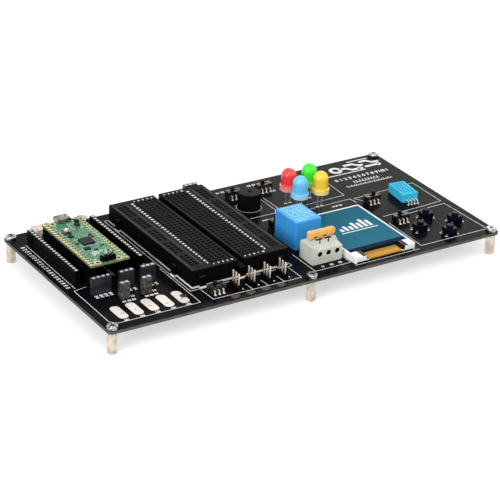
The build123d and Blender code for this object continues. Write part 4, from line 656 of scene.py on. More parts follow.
# Polyamide of the long sockets: deep black with a satin face.
BLACK_NYLON = MouldedPlastic("polyamide_black_satin_moulded", "#08080a", "#0e0e11", 0.24, 0.01)
# Polyamide of the short sockets, from a polished mould: it mirrors the pads in front of it, and its
# grey-blue colour is a painted reflection of them.
GLOSSY_NYLON = MouldedPlastic("polyamide_black_gloss_moulded", "#24242b", "#35353e", 0.14, 0.5)
# The power sockets' polyamide: grey and mottled, partly where plugs scuffed the gloss away and partly as a
# painted reflection of the bright studio.
SCUFFED_SHEEN_NYLON = MouldedPlastic(
    "polyamide_black_scuffed_painted_sheen", "#5f5953", "#1e1c1b", 0.3, 0.4, grain_depth_mm=0.03, cloud_mm=1.6
)
# Uncoloured polyamide: creamy, and light goes a little way into it.
NATURAL_NYLON = MouldedPlastic(
    "polyamide_natural_moulded", "#f3e7d8", "#e2d2bf", 0.45, milkiness=0.3
)
# ABS of the breadboard: black with a coarse spark grain that dulls it to charcoal; its sides are painted a
# darker black, as shade.
BREADBOARD_ABS = MouldedPlastic(
    "abs_black_spark_grained", "#232323", "#2c2c2c", 0.5, 0.012,
    grain_mm=0.5, grain_depth_mm=0.03, side="#0c0c0c",
)
# Near-black ABS, painted as shade: in the breadboard's hole funnels beside the grained top, and in the
# terminal's holes, slots and lever notches.
PAINTED_SHADE_ABS = MouldedPlastic("abs_black_painted_shade", "#060606", "#0b0b0b", 0.6, 0.02)
# Chip housings: transfer-moulded epoxy full of silica, charcoal and matt.
CHIP_EPOXY = MouldedPlastic("epoxy_silica_moulded", "#17181a", "#232427", 0.5, 0.15, grain_mm=0.25)
# The start button's cap: white PBT, slightly translucent.
CAP_WHITE = MouldedPlastic("pbt_white_moulded", "#f1efe9", "#dedbd3", milkiness=0.3, depth_mm=0.5)
# The sounder's case: black PBT with a smooth top.
SOUNDER_PBT = MouldedPlastic("pbt_black_moulded", "#0f0d0e", "#171415", 0.3, 0.03)
# Sintered ferrite: dark brown-grey and gritty.
FERRITE = MouldedPlastic("ferrite_sintered", "#3a3735", "#29211d", 0.6, grain_depth_mm=0.03)
# The relay's case: blue PBT from a polished mould, with some light inside its thin walls.
RELAY_PBT = MouldedPlastic("pbt_blue_moulded", "#3fa5ec", "#369be6", 0.34, 0.4, milkiness=0.1)
# The relay's base plate: black PBT filled with glass, duller than the case.
RELAY_BASE_PBT = MouldedPlastic("pbt_black_glass_filled", "#17181a", "#222326", 0.5, 0.2)
# The wire terminal: light grey polyamide, with the soft bloom of a part that took up water.
TERMINAL_PA = MouldedPlastic("polyamide_grey_moulded", "#d5d8cf", "#cbcfc5", 0.48, 0.3)
# The terminal's levers: orange polyamide, lighter where it is thin.
LEVER_PA = MouldedPlastic("polyamide_orange_moulded", "#fbc26a", "#f5b555", 0.38, 0.4, milkiness=0.15)
# The display's frame: white polycarbonate, which stays bright at its edges.
FRAME_PC = MouldedPlastic("polycarbonate_white_moulded", "#fbfcfc", "#f1f3f3", 0.4, milkiness=0.15)
# The sensor's case: cyan ABS with a matt grain.
SENSOR_ABS = MouldedPlastic(
    "abs_cyan_moulded", "#42c8ee", "#34bbe5", 0.55, 0.12, grain_depth_mm=0.02
)
# Switch bodies and knobs: black polyamide, worn to a faint shine.
SWITCH_PA = MouldedPlastic("polyamide_black_worn", "#0d0d0e", "#161617", 0.3, 0.1)
# Push buttons: black polyamide with a bluish cast and a polished cap.
BUTTON_PA = MouldedPlastic("polyamide_blue_black_moulded", "#080a13", "#0e111f", 0.3, 0.08)
# Ceramic capacitors: sintered, tan and matt.
TAN_CERAMIC = MouldedPlastic("ceramic_tan_sintered", "#b08d63", "#967650", 0.5, grain_mm=0.2)
# Solder levelled on bare copper: pale, with frozen waves.
PAD_TIN = SolderedTin("solder_levelled_on_copper", "#fbf6ee", "#e9e2d8", metal=0.25)
# Solder joints: small bright cones.
JOINT_TIN = SolderedTin("solder_wave_joint", "#deddd9", "#b5b4b1", 0.6, 0.03, metal=0.7)
# The lips of the spring contacts at the sockets' mouths, raised to the mouths and bright: partly real tin,
# partly a painted glint.
LIP_GLINT_TIN = SolderedTin("bronze_tin_lip_painted_glint", "#f0f0ee", "#d6d6d4", 0.5, 0.02, 0.45, 0.3)
# Gold dipped on nickel: a pale yellow film, duller than plate.
PALE_GOLD = SolderedTin("gold_dipped_on_nickel", "#f3ecc9", "#dfd29c", 0.8, 0.01, 0.45, 0.3)
# Epoxy ink: the board's white print, and the faint red and blue lines on the breadboard's rails.
WHITE_INK = ThinLayer("epoxy_ink_white_printed", "#ffffff", "#ededeb")
RED_INK = ThinLayer("epoxy_ink_red_printed", "#45302a", "#382621")
BLUE_INK = ThinLayer("epoxy_ink_blue_printed", "#25272f", "#222326")
# Marks moulded proud on the relay's case, scuffed to a pale blue.
RELAY_MARKS = ThinLayer("pbt_blue_scuffed_marks", "#92dde6", "#70cadd")
# Thin, brown and nearly black: the dark marks on the touch pads.
PAD_DARK_MARKS = ThinLayer("dark_brown_marks", "#151311", "#2d2825")
# Brown and thin: the patches on the board in front of the servo headers.
BROWN_PATCHES = ThinLayer("thin_brown_patches", "#5b4a40", "#33291f")
# Blue-black plugs in the sensor's grid slots: painted shade.
SLOT_SHADE = ThinLayer("painted_shade_blue_black", "#06364c", "#0a4a66")
# White pixels of the display.
PIXEL_WHITE = ThinLayer("display_pixels_white", "#f2f6f7", "#dfe9ec")
# Epoxy tinted and filled with a fine diffuser, cast in a cup.
RED_RESIN = LampResin("epoxy_red_cast", "#fb4242", "#fbb0b4")
BLUE_RESIN = LampResin("epoxy_blue_cast", "#6fcbfc", "#c0e6fb")
GREEN_RESIN = LampResin("epoxy_green_cast", "#43fb38", "#b2fbaa")
YELLOW_RESIN = LampResin("epoxy_yellow_cast", "#ffd53a", "#fdeaa6")
# Foam tape, slit from a roll: white, and pitted by its cells.
FOAM = FoamTape("acrylic_foam_slit", "#fbfbfa", "#dfe0e0")
# Polyimide film laminated on copper: amber, with paler lines.
RIBBON_FILM = PolyimideRibbon("polyimide_film_laminated", "#b1761a", "#dca332")
# The display's cover glass, polished, over its picture and the navy ledge of its contacts.
PANEL_GLASS = DisplayPanel("display_glass_polished", "#14677c", "#2a6f88", "#0a1a33", 13.6, 53.5)
# The capacitor's can, drawn from aluminium, in its sleeve.
CAN = SleevedCan("aluminium_can_sleeved", "#101012", "#b9babd", 7.1)


class Draft:
    """A mesh in the making, in board coordinates and millimetres."""

    def __init__(self) -> None:
        """Starts an empty mesh."""
        self.mesh = bmesh.new()

    def prism(self, outline: list[Point], low: float, high: float, taper: float = 0.0) -> None:
        """Adds an upright prism.

        Args:
            outline: its corners, anticlockwise from above.
            low: its lower Z.
            high: its upper Z.
            taper: how far the top's corners draw in, for a soft upper edge.
        """
        middle_x = sum(x for x, _ in outline) / len(outline)
        middle_y = sum(y for _, y in outline) / len(outline)
        reach = max(math.hypot(x - middle_x, y - middle_y) for x, y in outline)
        rings = []
        for level, scale in ((low, 1.0), (high, 1 - taper / reach)):
            ring = []
            for x, y in outline:
                across = middle_x + (x - middle_x) * scale
                along = middle_y + (y - middle_y) * scale
                ring.append(self.mesh.verts.new(place(across, along, level)))
            rings.append(ring)
        self.mesh.faces.new(list(reversed(rings[0])))
        self.mesh.faces.new(rings[1])
        for index in range(len(outline)):
            after = (index + 1) % len(outline)
            self.mesh.faces.new((rings[0][index], rings[0][after], rings[1][after], rings[1][index]))

    def slab(
        self, x: float, y: float, width: float, depth: float, low: float, high: float, taper: float = 0.0
    ) -> None:
        """Adds a block around a point.

        Args:
            x: its middle across.
            y: its middle from front to back.
            width: its size along X.
            depth: its size along Y.
            low: its lower Z.
            high: its upper Z.
            taper: how far the top's corners draw in.
        """
        dx = width / 2
        dy = depth / 2
        corners = [(x - dx, y - dy), (x + dx, y - dy), (x + dx, y + dy), (x - dx, y + dy)]
        self.prism(corners, low, high, taper)

    def line(self, points: list[Point], width: float, low: float, high: float) -> None:
        """Adds a flat line with mitred corners; it closes where its last point is its first.

        Args:
            points: the points that it joins.
            width: its width.
            low: its lower Z.
            high: its upper Z.
        """
        closed = points[0] == points[-1]
        spots = [Vector(point) for point in (points[:-1] if closed else points)]
        last = len(spots) - 1
        sections = []
        for index, spot in enumerate(spots):
            into = (spot - spots[index - 1]).normalized() if closed or index else None
            following = spots[(index + 1) % len(spots)]
            out = (following - spot).normalized() if closed or index < last else None
            along = ((into or out) + (out or into)).normalized()
            across = Vector((-along.y, along.x)) * (width / 2 / max(along.dot(into or out), 0.5))
            if not closed and index in (0, last):
                spot = spot + along * (width / 2 if index else -width / 2)
            left = spot + across
            right = spot - across
            corners = ((left, low), (right, low), (right, high), (left, high))
            section = [self.mesh.verts.new(place(corner.x, corner.y, z)) for corner, z in corners]
            sections.append(section)
        for before, after in zip(sections, sections[1:] + sections[:1] if closed else sections[1:]):
            for edge in range(len(before)):
                beside = (edge + 1) % len(before)
                self.mesh.faces.new((before[edge], before[beside], after[beside], after[edge]))
        if not closed:
            self.mesh.faces.new(sections[0])
            self.mesh.faces.new(list(reversed(sections[-1])))

    def ring(
        self, x: float, y: float, radius: float, width: float, low: float, high: float, sides: int = 24
    ) -> None:
        """Adds a flat ring.

        Args:
            x: its middle across.
            y: its middle from front to back.
            radius: the radius of its middle line.
            width: its width.
            low: its lower Z.
            high: its upper Z.
            sides: how many straight pieces it has; 4 makes a square frame.
        """
        turn = math.tau / sides
        points = []
        for step in range(sides):
            angle = turn * (step + 0.5)
            points.append((x + radius * math.cos(angle), y + radius * math.sin(angle)))
        self.line(points + points[:1], width, low, high)

    def lathe(
        self, x: float, other: float, profile: list[Point], steps: int = 16, axis: Axis = Axis.Z
    ) -> None:
        """Turns a profile about an axis.

        Args:
            x: the axis's X.
            other: the axis's Y, or its Z where it runs from front to back.
            profile: radius and place along the axis in order; a radius of 0 closes it.
            steps: sides of the round.
            axis: Z for an upright axis, Y for one that runs from front to back.
        """
        rings = []
        for radius, level in profile:
            ring = []
            for step in range(steps if radius else 1):
                angle = math.tau * step / steps
                across = x + radius * math.cos(angle)
                beside = other + radius * math.sin(angle)
                point = place(across, beside, level) if axis is Axis.Z else place(across, level, beside)
                ring.append(self.mesh.verts.new(point))
            rings.append(ring)
        for lower, upper in zip(rings, rings[1:]):
            for step in range(steps):
                after = (step + 1) % steps
                if len(lower) == 1:
                    self.mesh.faces.new((lower[0], upper[step], upper[after]))
                elif len(upper) == 1:
                    self.mesh.faces.new((lower[step], lower[after], upper[0]))
                else:
                    self.mesh.faces.new((lower[step], lower[after], upper[after], upper[step]))

    def figures(
        self,
        words: str,
        x: float,
        y: float,
        height: float,
        level: float,
        turn: float = 0.0,
        weight: float = 0.0,
    ) -> None:
        """Adds printed figures, centred on a point.

        Args:
            words: the figures.
            x: their middle across.
            y: their middle from front to back.
            height: their height.
            level: the Z of the surface that they are printed on.
            turn: their turn about Z in degrees.
            weight: how much fatter than the plain face they are.
        """
        curve = bpy.data.curves.new("figures", "FONT")
        curve.body = words
        curve.size = height * MM / CAPITAL
        curve.align_x = "CENTER"
        curve.align_y = "CENTER"
        curve.resolution_u = 2
        curve.extrude = INK / 2 * MM
        curve.offset = weight * MM
        holder = bpy.data.objects.new("figures", curve)
        flat = bpy.data.meshes.new_from_object(holder)
        where = Matrix.Translation(place(x, y, level + INK / 2))
        flat.transform(where @ Matrix.Rotation(math.radians(turn), 4, "Z"))
        self.mesh.from_mesh(flat)
        bpy.data.objects.remove(holder)
        bpy.data.curves.remove(curve)
        bpy.data.meshes.remove(flat)

    def piece(
        self, name: str, finish: Finish, slot: str, smooth: bool = False, body: str = "board"
    ) -> bpy.types.Object:
        """Turns the draft into an object that rides on a body.

        Args:
            name: the object's name.
            finish: its finish.
            slot: not used.
            smooth: whether its faces are shaded smooth where they meet at less than SMOOTH_ANGLE.
            body: the body that it moves with.

        Returns:
            The object.
        """
        data = bpy.data.meshes.new(name)
        bmesh.ops.recalc_face_normals(self.mesh, faces=self.mesh.faces)
        self.mesh.to_mesh(data)
        self.mesh.free()
        if smooth:
            data.shade_smooth()
            data.set_sharp_from_angle(angle=SMOOTH_ANGLE)
        data.materials.append(finish.material())
        piece = bpy.data.objects.new(name, data)
        bpy.context.scene.collection.objects.link(piece)
        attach(piece, body)
        log.info("made %s", name)
        return piece


def dress(finish: Finish, *nodes: str) -> None:
    """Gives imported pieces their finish.

    Args:
        finish: the finish.
        nodes: the names of the pieces.
    """
    for name in nodes:
        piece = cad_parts[name]
        piece.data.materials.clear()
        piece.data.materials.append(finish.material())
        log.info("dressed %s", name)


def ends(node: str, level: float, reach: float) -> list[Point]:
    """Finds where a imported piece's leads cross a low level.

    Args:
        node: the piece with the leads.
        level: corners up to this Z count, in board coordinates.
        reach: the greatest distance between two corners of one lead.

    Returns:
        The middle of each lead, in board coordinates.
    """
    groups: list[list[Point]] = []
    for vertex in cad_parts[node].data.vertices:
        if vertex.co.z / MM - BOARD_TOP > level:
            continue
        x = vertex.co.x / MM + BOARD_WIDTH / 2
        y = vertex.co.y / MM + BOARD_DEPTH / 2
        for group in groups:
            if math.hypot(group[0][0] - x, group[0][1] - y) < reach:
                group.append((x, y))
                break
        else:
            groups.append([(x, y)])
    middles = []
    for group in groups:
        wide = [x for x, _ in group]
        deep = [y for _, y in group]
        middles.append(((min(wide) + max(wide)) / 2, (min(deep) + max(deep)) / 2))
    return middles


# Sub-assemblies


@dataclass
class CircuitBoard:
    """The laminate with its print, solder, screws and stand-offs."""

    line: float = 0.3
    weight: float = 0.1
    joint_radius: float = 0.95
    joint_rise: float = 0.9
    pad_radius: float = 0.85
    pad_rise: float = 0.05
    lead_end: float = 1.2
    lead_reach: float = 1.6
    foot_level: float = 0.1
    foot_reach: float = 1.3
    touch_top: float = 0.1
    burn_start: float = 14.0
    burn_pitch: float = 7.85
    burn_y: float = 13.0
    burn_radius: float = 0.8
    burn_width: float = 0.34
    film: float = 0.02
    flux_start: float = 69.2
    flux_pitch: float = 8.6

    def frames(self) -> list[list[Point]]:
        """The printed lines round the groups of parts.

        Returns:
            The points that each line joins.
        """
        return [
            [(11.4, 44.9), (4.6, 43.7), (4.6, 9.3), (7.6, 6.2), (51.9, 5.9), (52.2, 45.0)],
            [(6.2, 45.9), (6.2, 97.8)],
            [(53.5, 104.0), (53.5, 17.7), (111.2, 17.7), (111.2, 104.0), (53.5, 104.0)],
            [(58.6, 16.6), (58.9, 5.7), (108.5, 4.9), (108.5, 16.6)],
            [(80.6, 11.8), (81.0, 5.6)],
            [(89.3, 11.8), (89.7, 5.4)],
            [(98.4, 11.8), (98.8, 5.2)],
            [(118.0, 27.5), (118.0, 7.1), (139.0, 7.1), (139.0, 27.5)],
            [(139.4, 3.2), (178.0, 3.2)],
            [(181.9, 34.5), (181.2, 5.8), (223.0, 5.8), (222.0, 33.4)],
            [(221.9, 34.6), (221.8, 40.6), (210.9, 40.3), (197.6, 39.4)],
            [(185.5, 62.6), (182.6, 67.4), (222.0, 69.4), (221.9, 44.0), (210.7, 43.2), (184.0, 42.4)],
            [(181.2, 90.0), (180.4, 73.4), (155.6, 72.7)],
            [(121.4, 72.0), (136.3, 72.0), (138.4, 75.0), (138.4, 89.4)],
            [(140.6, 90.5), (140.6, 76.2), (137.6, 73.4)],
            [(155.6, 67.5), (180.4, 68.2), (181.2, 62.6)],
        ]

    def labels(self) -> list[tuple[str, float, float, float, float]]:
        """The printed figures.

        Returns:
            The words, X, Y, height and turn of each.
        """
        found = [
            ("01 02 03", 23.2, 23.2, 1.4, 0.0), ("04 05 06", 35.4, 23.2, 1.4, 0.0),
            ("12", 26.6, 26.6, 1.5, 0.0), ("34", 38.6, 26.6, 1.5, 0.0),
            ("21 22", 123.7, 106.2, 1.6, 0.0), ("23 24", 143.2, 106.4, 1.6, 0.0),
            ("25", 150.4, 95.3, 1.4, 0.0), ("26 27 28", 169.6, 64.2, 1.2, 0.0),
            ("0 0 0", 127.2, 67.0, 1.2, 0.0),
        ]
        # Runs of counted figures: how many, the first figure, its X and Y, the steps, height and turn.
        runs = (
            (20, 101, 3.6, FIRST_WAY, 0.0, PITCH, 1.15, 0.0),
            (20, 121, 46.7, FIRST_WAY, 0.0, PITCH, 1.4, 0.0),
            (4, 141, 11.39, 33.2, PITCH, 0.0, 1.6, 90.0),
            (3, 201, 26.46, 32.6, PITCH, 0.0, 1.2, 90.0),
            (3, 211, 38.16, 32.6, PITCH, 0.0, 1.2, 90.0),
            (5, 151, 12.9, 7.0, 8.3, 0.0, 1.3, 0.0),
        )
        for count, first, x, y, step_x, step_y, height, turn in runs:
            for index in range(count):
                found.append((str(first + index), x + step_x * index, y + step_y * index, height, turn))
        for row in range(5):
            found.append((f"{row + 1} {row + 6}", 29.2, 50.2 + 2.3 * row, 1.2, 90.0))
        for header in range(4):
            for pin in range(3):
                found.append((str(3 - pin), 76.9 + 8.83 * header, 8.1 + PITCH * pin, 1.3, 0.0))
        for pole in range(3):
            found.append((f"{pole + 1}{pole + 1}", 124.2 + 5.08 * pole, 9.6, 1.4, 0.0))
        return found

    def print_lines(self) -> None:
        """Prints the lines, the rings round round parts and the figures."""
        draft = Draft()
        for points in self.frames():
            draft.line(points, self.line, 0.0, INK)
        # Rings round the sounder and the capacitor: the middle, radius, width and sides.
        for x, y, radius, width, sides in ((127.8, 84.1, 6.6, 0.2, 32), (38.3, 99.4, 3.8, 0.25, 24)):
            draft.ring(x, y, radius, width, 0.0, INK, sides)
        for words, x, y, height, turn in self.labels():
            draft.figures(words, x, y, height, 0.0, turn, self.weight)
        draft.piece("board_print", WHITE_INK, "laminate_black")

    def print_motif(self) -> None:
        """Prints the plain motif at the back right: circuit tracks with round pads over a ruler."""
        draft = Draft()
        # Tracks: the width and the points that each joins.
        tracks = (
            (1.9, [(197.6, 101.4), (200.4, 101.4), (203.0, 98.4), (206.4, 98.4)]),
            (1.9, [(202.0, 104.6), (206.6, 104.6), (209.4, 101.6), (211.0, 101.6)]),
            (1.9, [(212.6, 105.2), (216.0, 105.2), (218.4, 102.0), (221.6, 102.0)]),
            (1.9, [(212.4, 98.6), (217.4, 98.6)]),
            (0.8, [(205.8, 107.7), (218.4, 107.7)]),
            (0.8, [(185.6, 95.9), (209.6, 95.9)]),
            (0.6, [(194.5, 84.0), (210.4, 84.0)]),
            (0.5, [(187.8, 80.6), (216.4, 80.6)]),
        )
        for width, points in tracks:
            draft.line(points, width, 0.0, INK)
        draft.ring(193.9, 101.4, 2.75, 1.9, 0.0, INK, 24)
        for x, y in ((208.2, 98.4), (220.0, 98.6)):
            draft.ring(x, y, 1.2, 1.0, 0.0, INK, 16)
        for mark in range(12):
            draft.figures(str(mark), 187.0 + 2.9 * mark, 90.0, 2.5, 0.0, 0.0, 0.12)
        # Rulers: how many marks, the first one's X, the step, the Y, the heights in turn and the width.
        rulers = ((9, 194.8, 1.9, 84.0, (1.8, 1.8), 0.6), (20, 188.0, 1.48, 80.6, (1.5, 0.9), 0.45))
        for count, first, step, y, heights, width in rulers:
            for mark in range(count):
                x = first + step * mark
                draft.line([(x, y), (x, y + heights[mark % 2])], width, 0.0, INK)
        draft.piece("board_motif", WHITE_INK, "laminate_black")

    def solder(self) -> None:
        """Adds a solder cone at each lead under the board and a tinned pad at each foot on top."""
        cones = Draft()
        under = -BOARD_THICKNESS
        wide = self.joint_radius
        rise = self.joint_rise
        through = (
            "socket_contacts", "servo_pins", "sounder_driver", "lamp_legs", "relay_contacts",
            "terminal_clamps", "sensor_pins", "button_metal", "supply_capacitor",
        )
        cone = [
            (0.0, under - rise), (wide * 0.38, under - rise), (wide * 0.5, under - rise * 0.55),
            (wide * 0.75, under - rise * 0.2), (wide, under - 0.03), (wide, under),
        ]
        for node in through:
            for x, y in ends(node, under - self.lead_end, self.lead_reach):
                cones.lathe(x, y, cone, 12)
        cones.piece("solder_joints", JOINT_TIN, "tin", smooth=True)
        pads = Draft()
        wide = self.pad_radius
        pad = [(wide, 0.0), (wide * 0.92, self.pad_rise), (0.0, self.pad_rise * 1.3)]
        for node in ("switch_legs", "button_metal", "sensor_pins", "lamp_legs"):
            for x, y in ends(node, self.foot_level, self.foot_reach):
                pads.lathe(x, y, pad, 12)
        pads.piece("solder_pads", JOINT_TIN, "tin", smooth=True)

    def pad_marks(self) -> None:
        """Adds dark curved marks and a dark round patch on the touch pads, and brown patches on the board
        in front of the servo headers.
        """
        dark_marks = Draft()
        high = self.touch_top + self.film
        for index in range(5):
            x = self.burn_start + self.burn_pitch * index
            y = self.burn_y + 0.5 * (index % 3)
            arc = []
            for step in range(5):
                angle = 0.6 + 0.5 * step + index
                reach = Vector((math.cos(angle), math.sin(angle))) * self.burn_radius
                arc.append((x + reach.x, y + reach.y))
            dark_marks.line(arc, self.burn_width, self.touch_top, high)
        # A dark round patch on the last pad.
        dark_marks.lathe(48.1, 15.2, [(1.9, self.touch_top), (1.8, high), (0.0, high + 0.01)], 9)
        dark_marks.piece("touch_pad_dark_marks", PAD_DARK_MARKS, "tin")
        brown_spots = Draft()
        for header in range(4):
            x = self.flux_start + self.flux_pitch * header
            brown_spots.lathe(x, 3.1, [(1.9, 0.0), (1.8, INK), (0.0, INK)], 7)
            brown_spots.lathe(x + 2.0, 3.5, [(1.4, 0.0), (1.3, INK), (0.0, INK * 1.2)], 7)
        brown_spots.piece("header_brown_patches", BROWN_PATCHES, "laminate_black")

    def build(self) -> None:
        """Dresses the laminate, the screws and the stand-offs, and adds the print and the solder."""
        dress(BLACK_MASK, "main_board")
        dress(SCREW_NICKEL, "board_screws")
        dress(STANDOFF_NICKEL, "board_standoffs")
        dress(PAD_TIN, "touch_pads")
        self.print_lines()
        self.print_motif()
        self.solder()
        self.pad_marks()


@dataclass
class Sockets:
    """The wire sockets with their contacts' lips, painted bright as glints, the supply inlet and the
    capacitor.
    """

    top: float = 8.5
    lip: float = 1.35
    mouth: float = 0.5
    lip_low: float = 0.06
    lip_high: float = 0.05

    def ways(self) -> list[Point]:
        """The ways of the long, small and power sockets.

        Returns:
            The middle of each way.
        """
        found = []
        for x in (7.9, 42.7):
            for way in range(20):
                found.append((x, FIRST_WAY + PITCH * way))
        # The short sockets' middles and how many ways each has.
        short = (
            (15.2, 36.9, 4), (29.0, 36.9, 3), (40.7, 36.9, 3),
            (22.3, 26.6, 2), (34.2, 26.6, 2), (105.7, 107.0, 3),
        )
        for x, y, count in short:
            for way in range(count):
                found.append((x + PITCH * (way - (count - 1) / 2), y))
        return found

    def lips(self) -> None:
        """Adds a bright square lip at each way's mouth: the contacts' tips, with a painted glint."""
        draft = Draft()
        radius = (self.lip + self.mouth) / 4 * math.sqrt(2)
        width = (self.lip - self.mouth) / 2
        for x, y in self.ways():
            draft.ring(x, y, radius, width, self.top - self.lip_low, self.top + self.lip_high, 4)
        draft.piece("socket_lip_glints", LIP_GLINT_TIN, "gold_contact")

    def build(self) -> None:
        """Dresses the sockets, their contacts, the inlet and the capacitor."""
        dress(BLACK_NYLON, "breakout_sockets", "module_sockets")
        dress(GLOSSY_NYLON, "small_sockets")
        dress(SCUFFED_SHEEN_NYLON, "power_sockets")
        dress(GOLD_FLASH, "socket_contacts")
        dress(NATURAL_NYLON, "supply_inlet")
        dress(CAN, "supply_capacitor")
        self.lips()


@dataclass
class Module:
    """The microcontroller module with its pads, small parts and print."""

    x: float = 23.2
    front: float = 42.0
    length: float = 51.0
    top: float = 12.04
    row_spacing: float = 17.78
    pad_length: float = 2.3
    pad_width: float = 1.45
    pad_height: float = 0.06
    pad_shift: float = 0.3
    pad_taper: float = 0.08
    hole_shift: float = 5.7
    hole_end: float = 2.0
    test_pad: float = 0.9
    pins: int = 20
    ceramic_height: float = 0.5
    tip_height: float = 0.52
    tip_shift: float = 0.42

    def pin_rows(self) -> list[tuple[Side, float, float]]:
        """The module's forty pins.

        Returns:
            The side, X and Y of each.
        """
        start = self.front + (self.length - (self.pins - 1) * PITCH) / 2
        rows = []
        for side in Side:
            for index in range(self.pins):
                rows.append((side, self.x + side.value * self.row_spacing / 2, start + index * PITCH))
        return rows

    def pads(self) -> None:
        """Adds the gold pads that reach from the pins to the edge notches, and the corner rings."""
        draft = Draft()
        high = self.top + self.pad_height
        for side, x, y in self.pin_rows():
            middle = x + side.value * self.pad_shift
            draft.slab(middle, y, self.pad_length, self.pad_width, self.top, high, self.pad_taper)
        for side in Side:
            for y in (self.front + self.hole_end, self.front + self.length - self.hole_end):
                draft.ring(self.x + side.value * self.hole_shift, y, 1.5, 0.8, self.top, high, 16)
        for dx, dy in ((-1.0, 12.6), (1.2, 12.6), (-3.4, 9.4), (3.2, 9.6), (6.3, 20.0), (-6.3, 31.0)):
            x = self.x + dx
            draft.slab(x, self.front + dy, self.test_pad, self.test_pad, self.top, high, 0.05)
        draft.piece("module_pads", PALE_GOLD, "gold_contact")

    def small_parts(self) -> None:
        """Adds the tan ceramic capacitors with their tinned ends."""
        ceramic = Draft()
        tips = Draft()
        # Each capacitor's place from the middle of the front edge, and whether it lies along Y.
        places = (
            (4.6, 20.6, 0), (-4.6, 20.2, 0), (2.2, 18.9, 1), (-1.6, 18.9, 1), (4.8, 23.2, 0),
            (4.8, 25.0, 0), (-4.9, 27.4, 0), (1.2, 29.3, 1), (3.0, 29.3, 1), (-1.4, 29.3, 1),
            (1.6, 44.0, 0), (1.6, 46.2, 0), (-2.0, 35.0, 1), (6.4, 36.2, 1), (6.4, 33.6, 1),
            (-6.2, 12.4, 1), (0.4, 15.2, 0), (-4.2, 14.2, 1), (4.4, 15.6, 1), (3.8, 34.4, 0),
            (2.6, 37.8, 0), (-0.8, 39.2, 1),
        )
        high = self.top + self.tip_height
        for dx, dy, turned in places:
            x = self.x + dx
            y = self.front + dy
            width, depth = (0.5, 0.6) if turned else (0.6, 0.5)
            ceramic.slab(x, y, width, depth, self.top, self.top + self.ceramic_height, 0.04)
            for side in Side:
                shift = side.value * self.tip_shift
                if turned:
                    tips.slab(x, y + shift, 0.55, 0.3, self.top, high, 0.04)
                else:
                    tips.slab(x + shift, y, 0.3, 0.55, self.top, high, 0.04)
        ceramic.piece("module_capacitors", TAN_CERAMIC, "chip_black")
        tips.piece("module_capacitor_ends", JOINT_TIN, "tin")

    def marks(self) -> None:
        """Prints the plain figures, rings and outlines on the module."""
        draft = Draft()
        level = self.top
        high = level + INK
        for side, x, y in self.pin_rows():
            draft.slab(x - side.value * 1.75, y, 0.6, 0.3, level, high)
        # Outlines of chips: the middle, the width and the depth.
        boxes = (
            (0, 24.1, 8.4, 8.4), (-4.5, 36.6, 4.8, 5.6), (-3.4, 17.0, 4.2, 3.5), (3.4, 42.6, 5.6, 6.8),
        )
        for dx, dy, width, depth in boxes:
            left = self.x + dx - width / 2
            near = self.front + dy - depth / 2
            right = left + width
            far = near + depth
            outline = [(left, near), (right, near), (right, far), (left, far), (left, near)]
            draft.line(outline, 0.18, level, high)
        for radius, sides in ((1.7, 20), (0.7, 16)):
            draft.ring(self.x - 1.9, self.front + 11.6, radius, 0.35, level, high, sides)
        # Bars: where they start and end, and their width.
        bars = (
            (6.2, 4.0, 6.2, 12.0, 0.3), (1.8, 10.2, 5.0, 10.2, 0.4),
            (1.8, 11.6, 5.0, 11.6, 0.4), (1.8, 13.0, 4.2, 13.0, 0.4),
        )
        for start_x, start_y, end_x, end_y, width in bars:
            start = (self.x + start_x, self.front + start_y)
            draft.line([start, (self.x + end_x, self.front + end_y)], width, level, high)
        # Figures: the words, their middle, their height and their weight.
        words = (
            ("1", -PITCH, 5.2, 1.3, 0.04), ("2", 0.0, 5.2, 1.3, 0.04), ("3", PITCH, 5.2, 1.3, 0.04),
            ("1", -6.0, 46.2, 1.3, 0.04), ("20", -5.8, 5.2, 1.1, 0.03),
        )
        for word, dx, dy, height, weight in words:
            draft.figures(word, self.x + dx, self.front + dy, height, level, 0.0, weight)
        draft.piece("module_print", WHITE_INK, "module_laminate")

    def build(self) -> None:
        """Dresses the module and adds its pads, parts and print."""
        dress(GREEN_MASK, "module_board")
        dress(BLACK_NYLON, "module_pin_strips")
        dress(GOLD_PIN, "module_pins")
        dress(CHIP_EPOXY, "module_chips")
        dress(STAMPED_STEEL, "module_metal_cases")
        dress(CAP_WHITE, "module_button")
        self.pads()
        self.small_parts()
        self.marks()


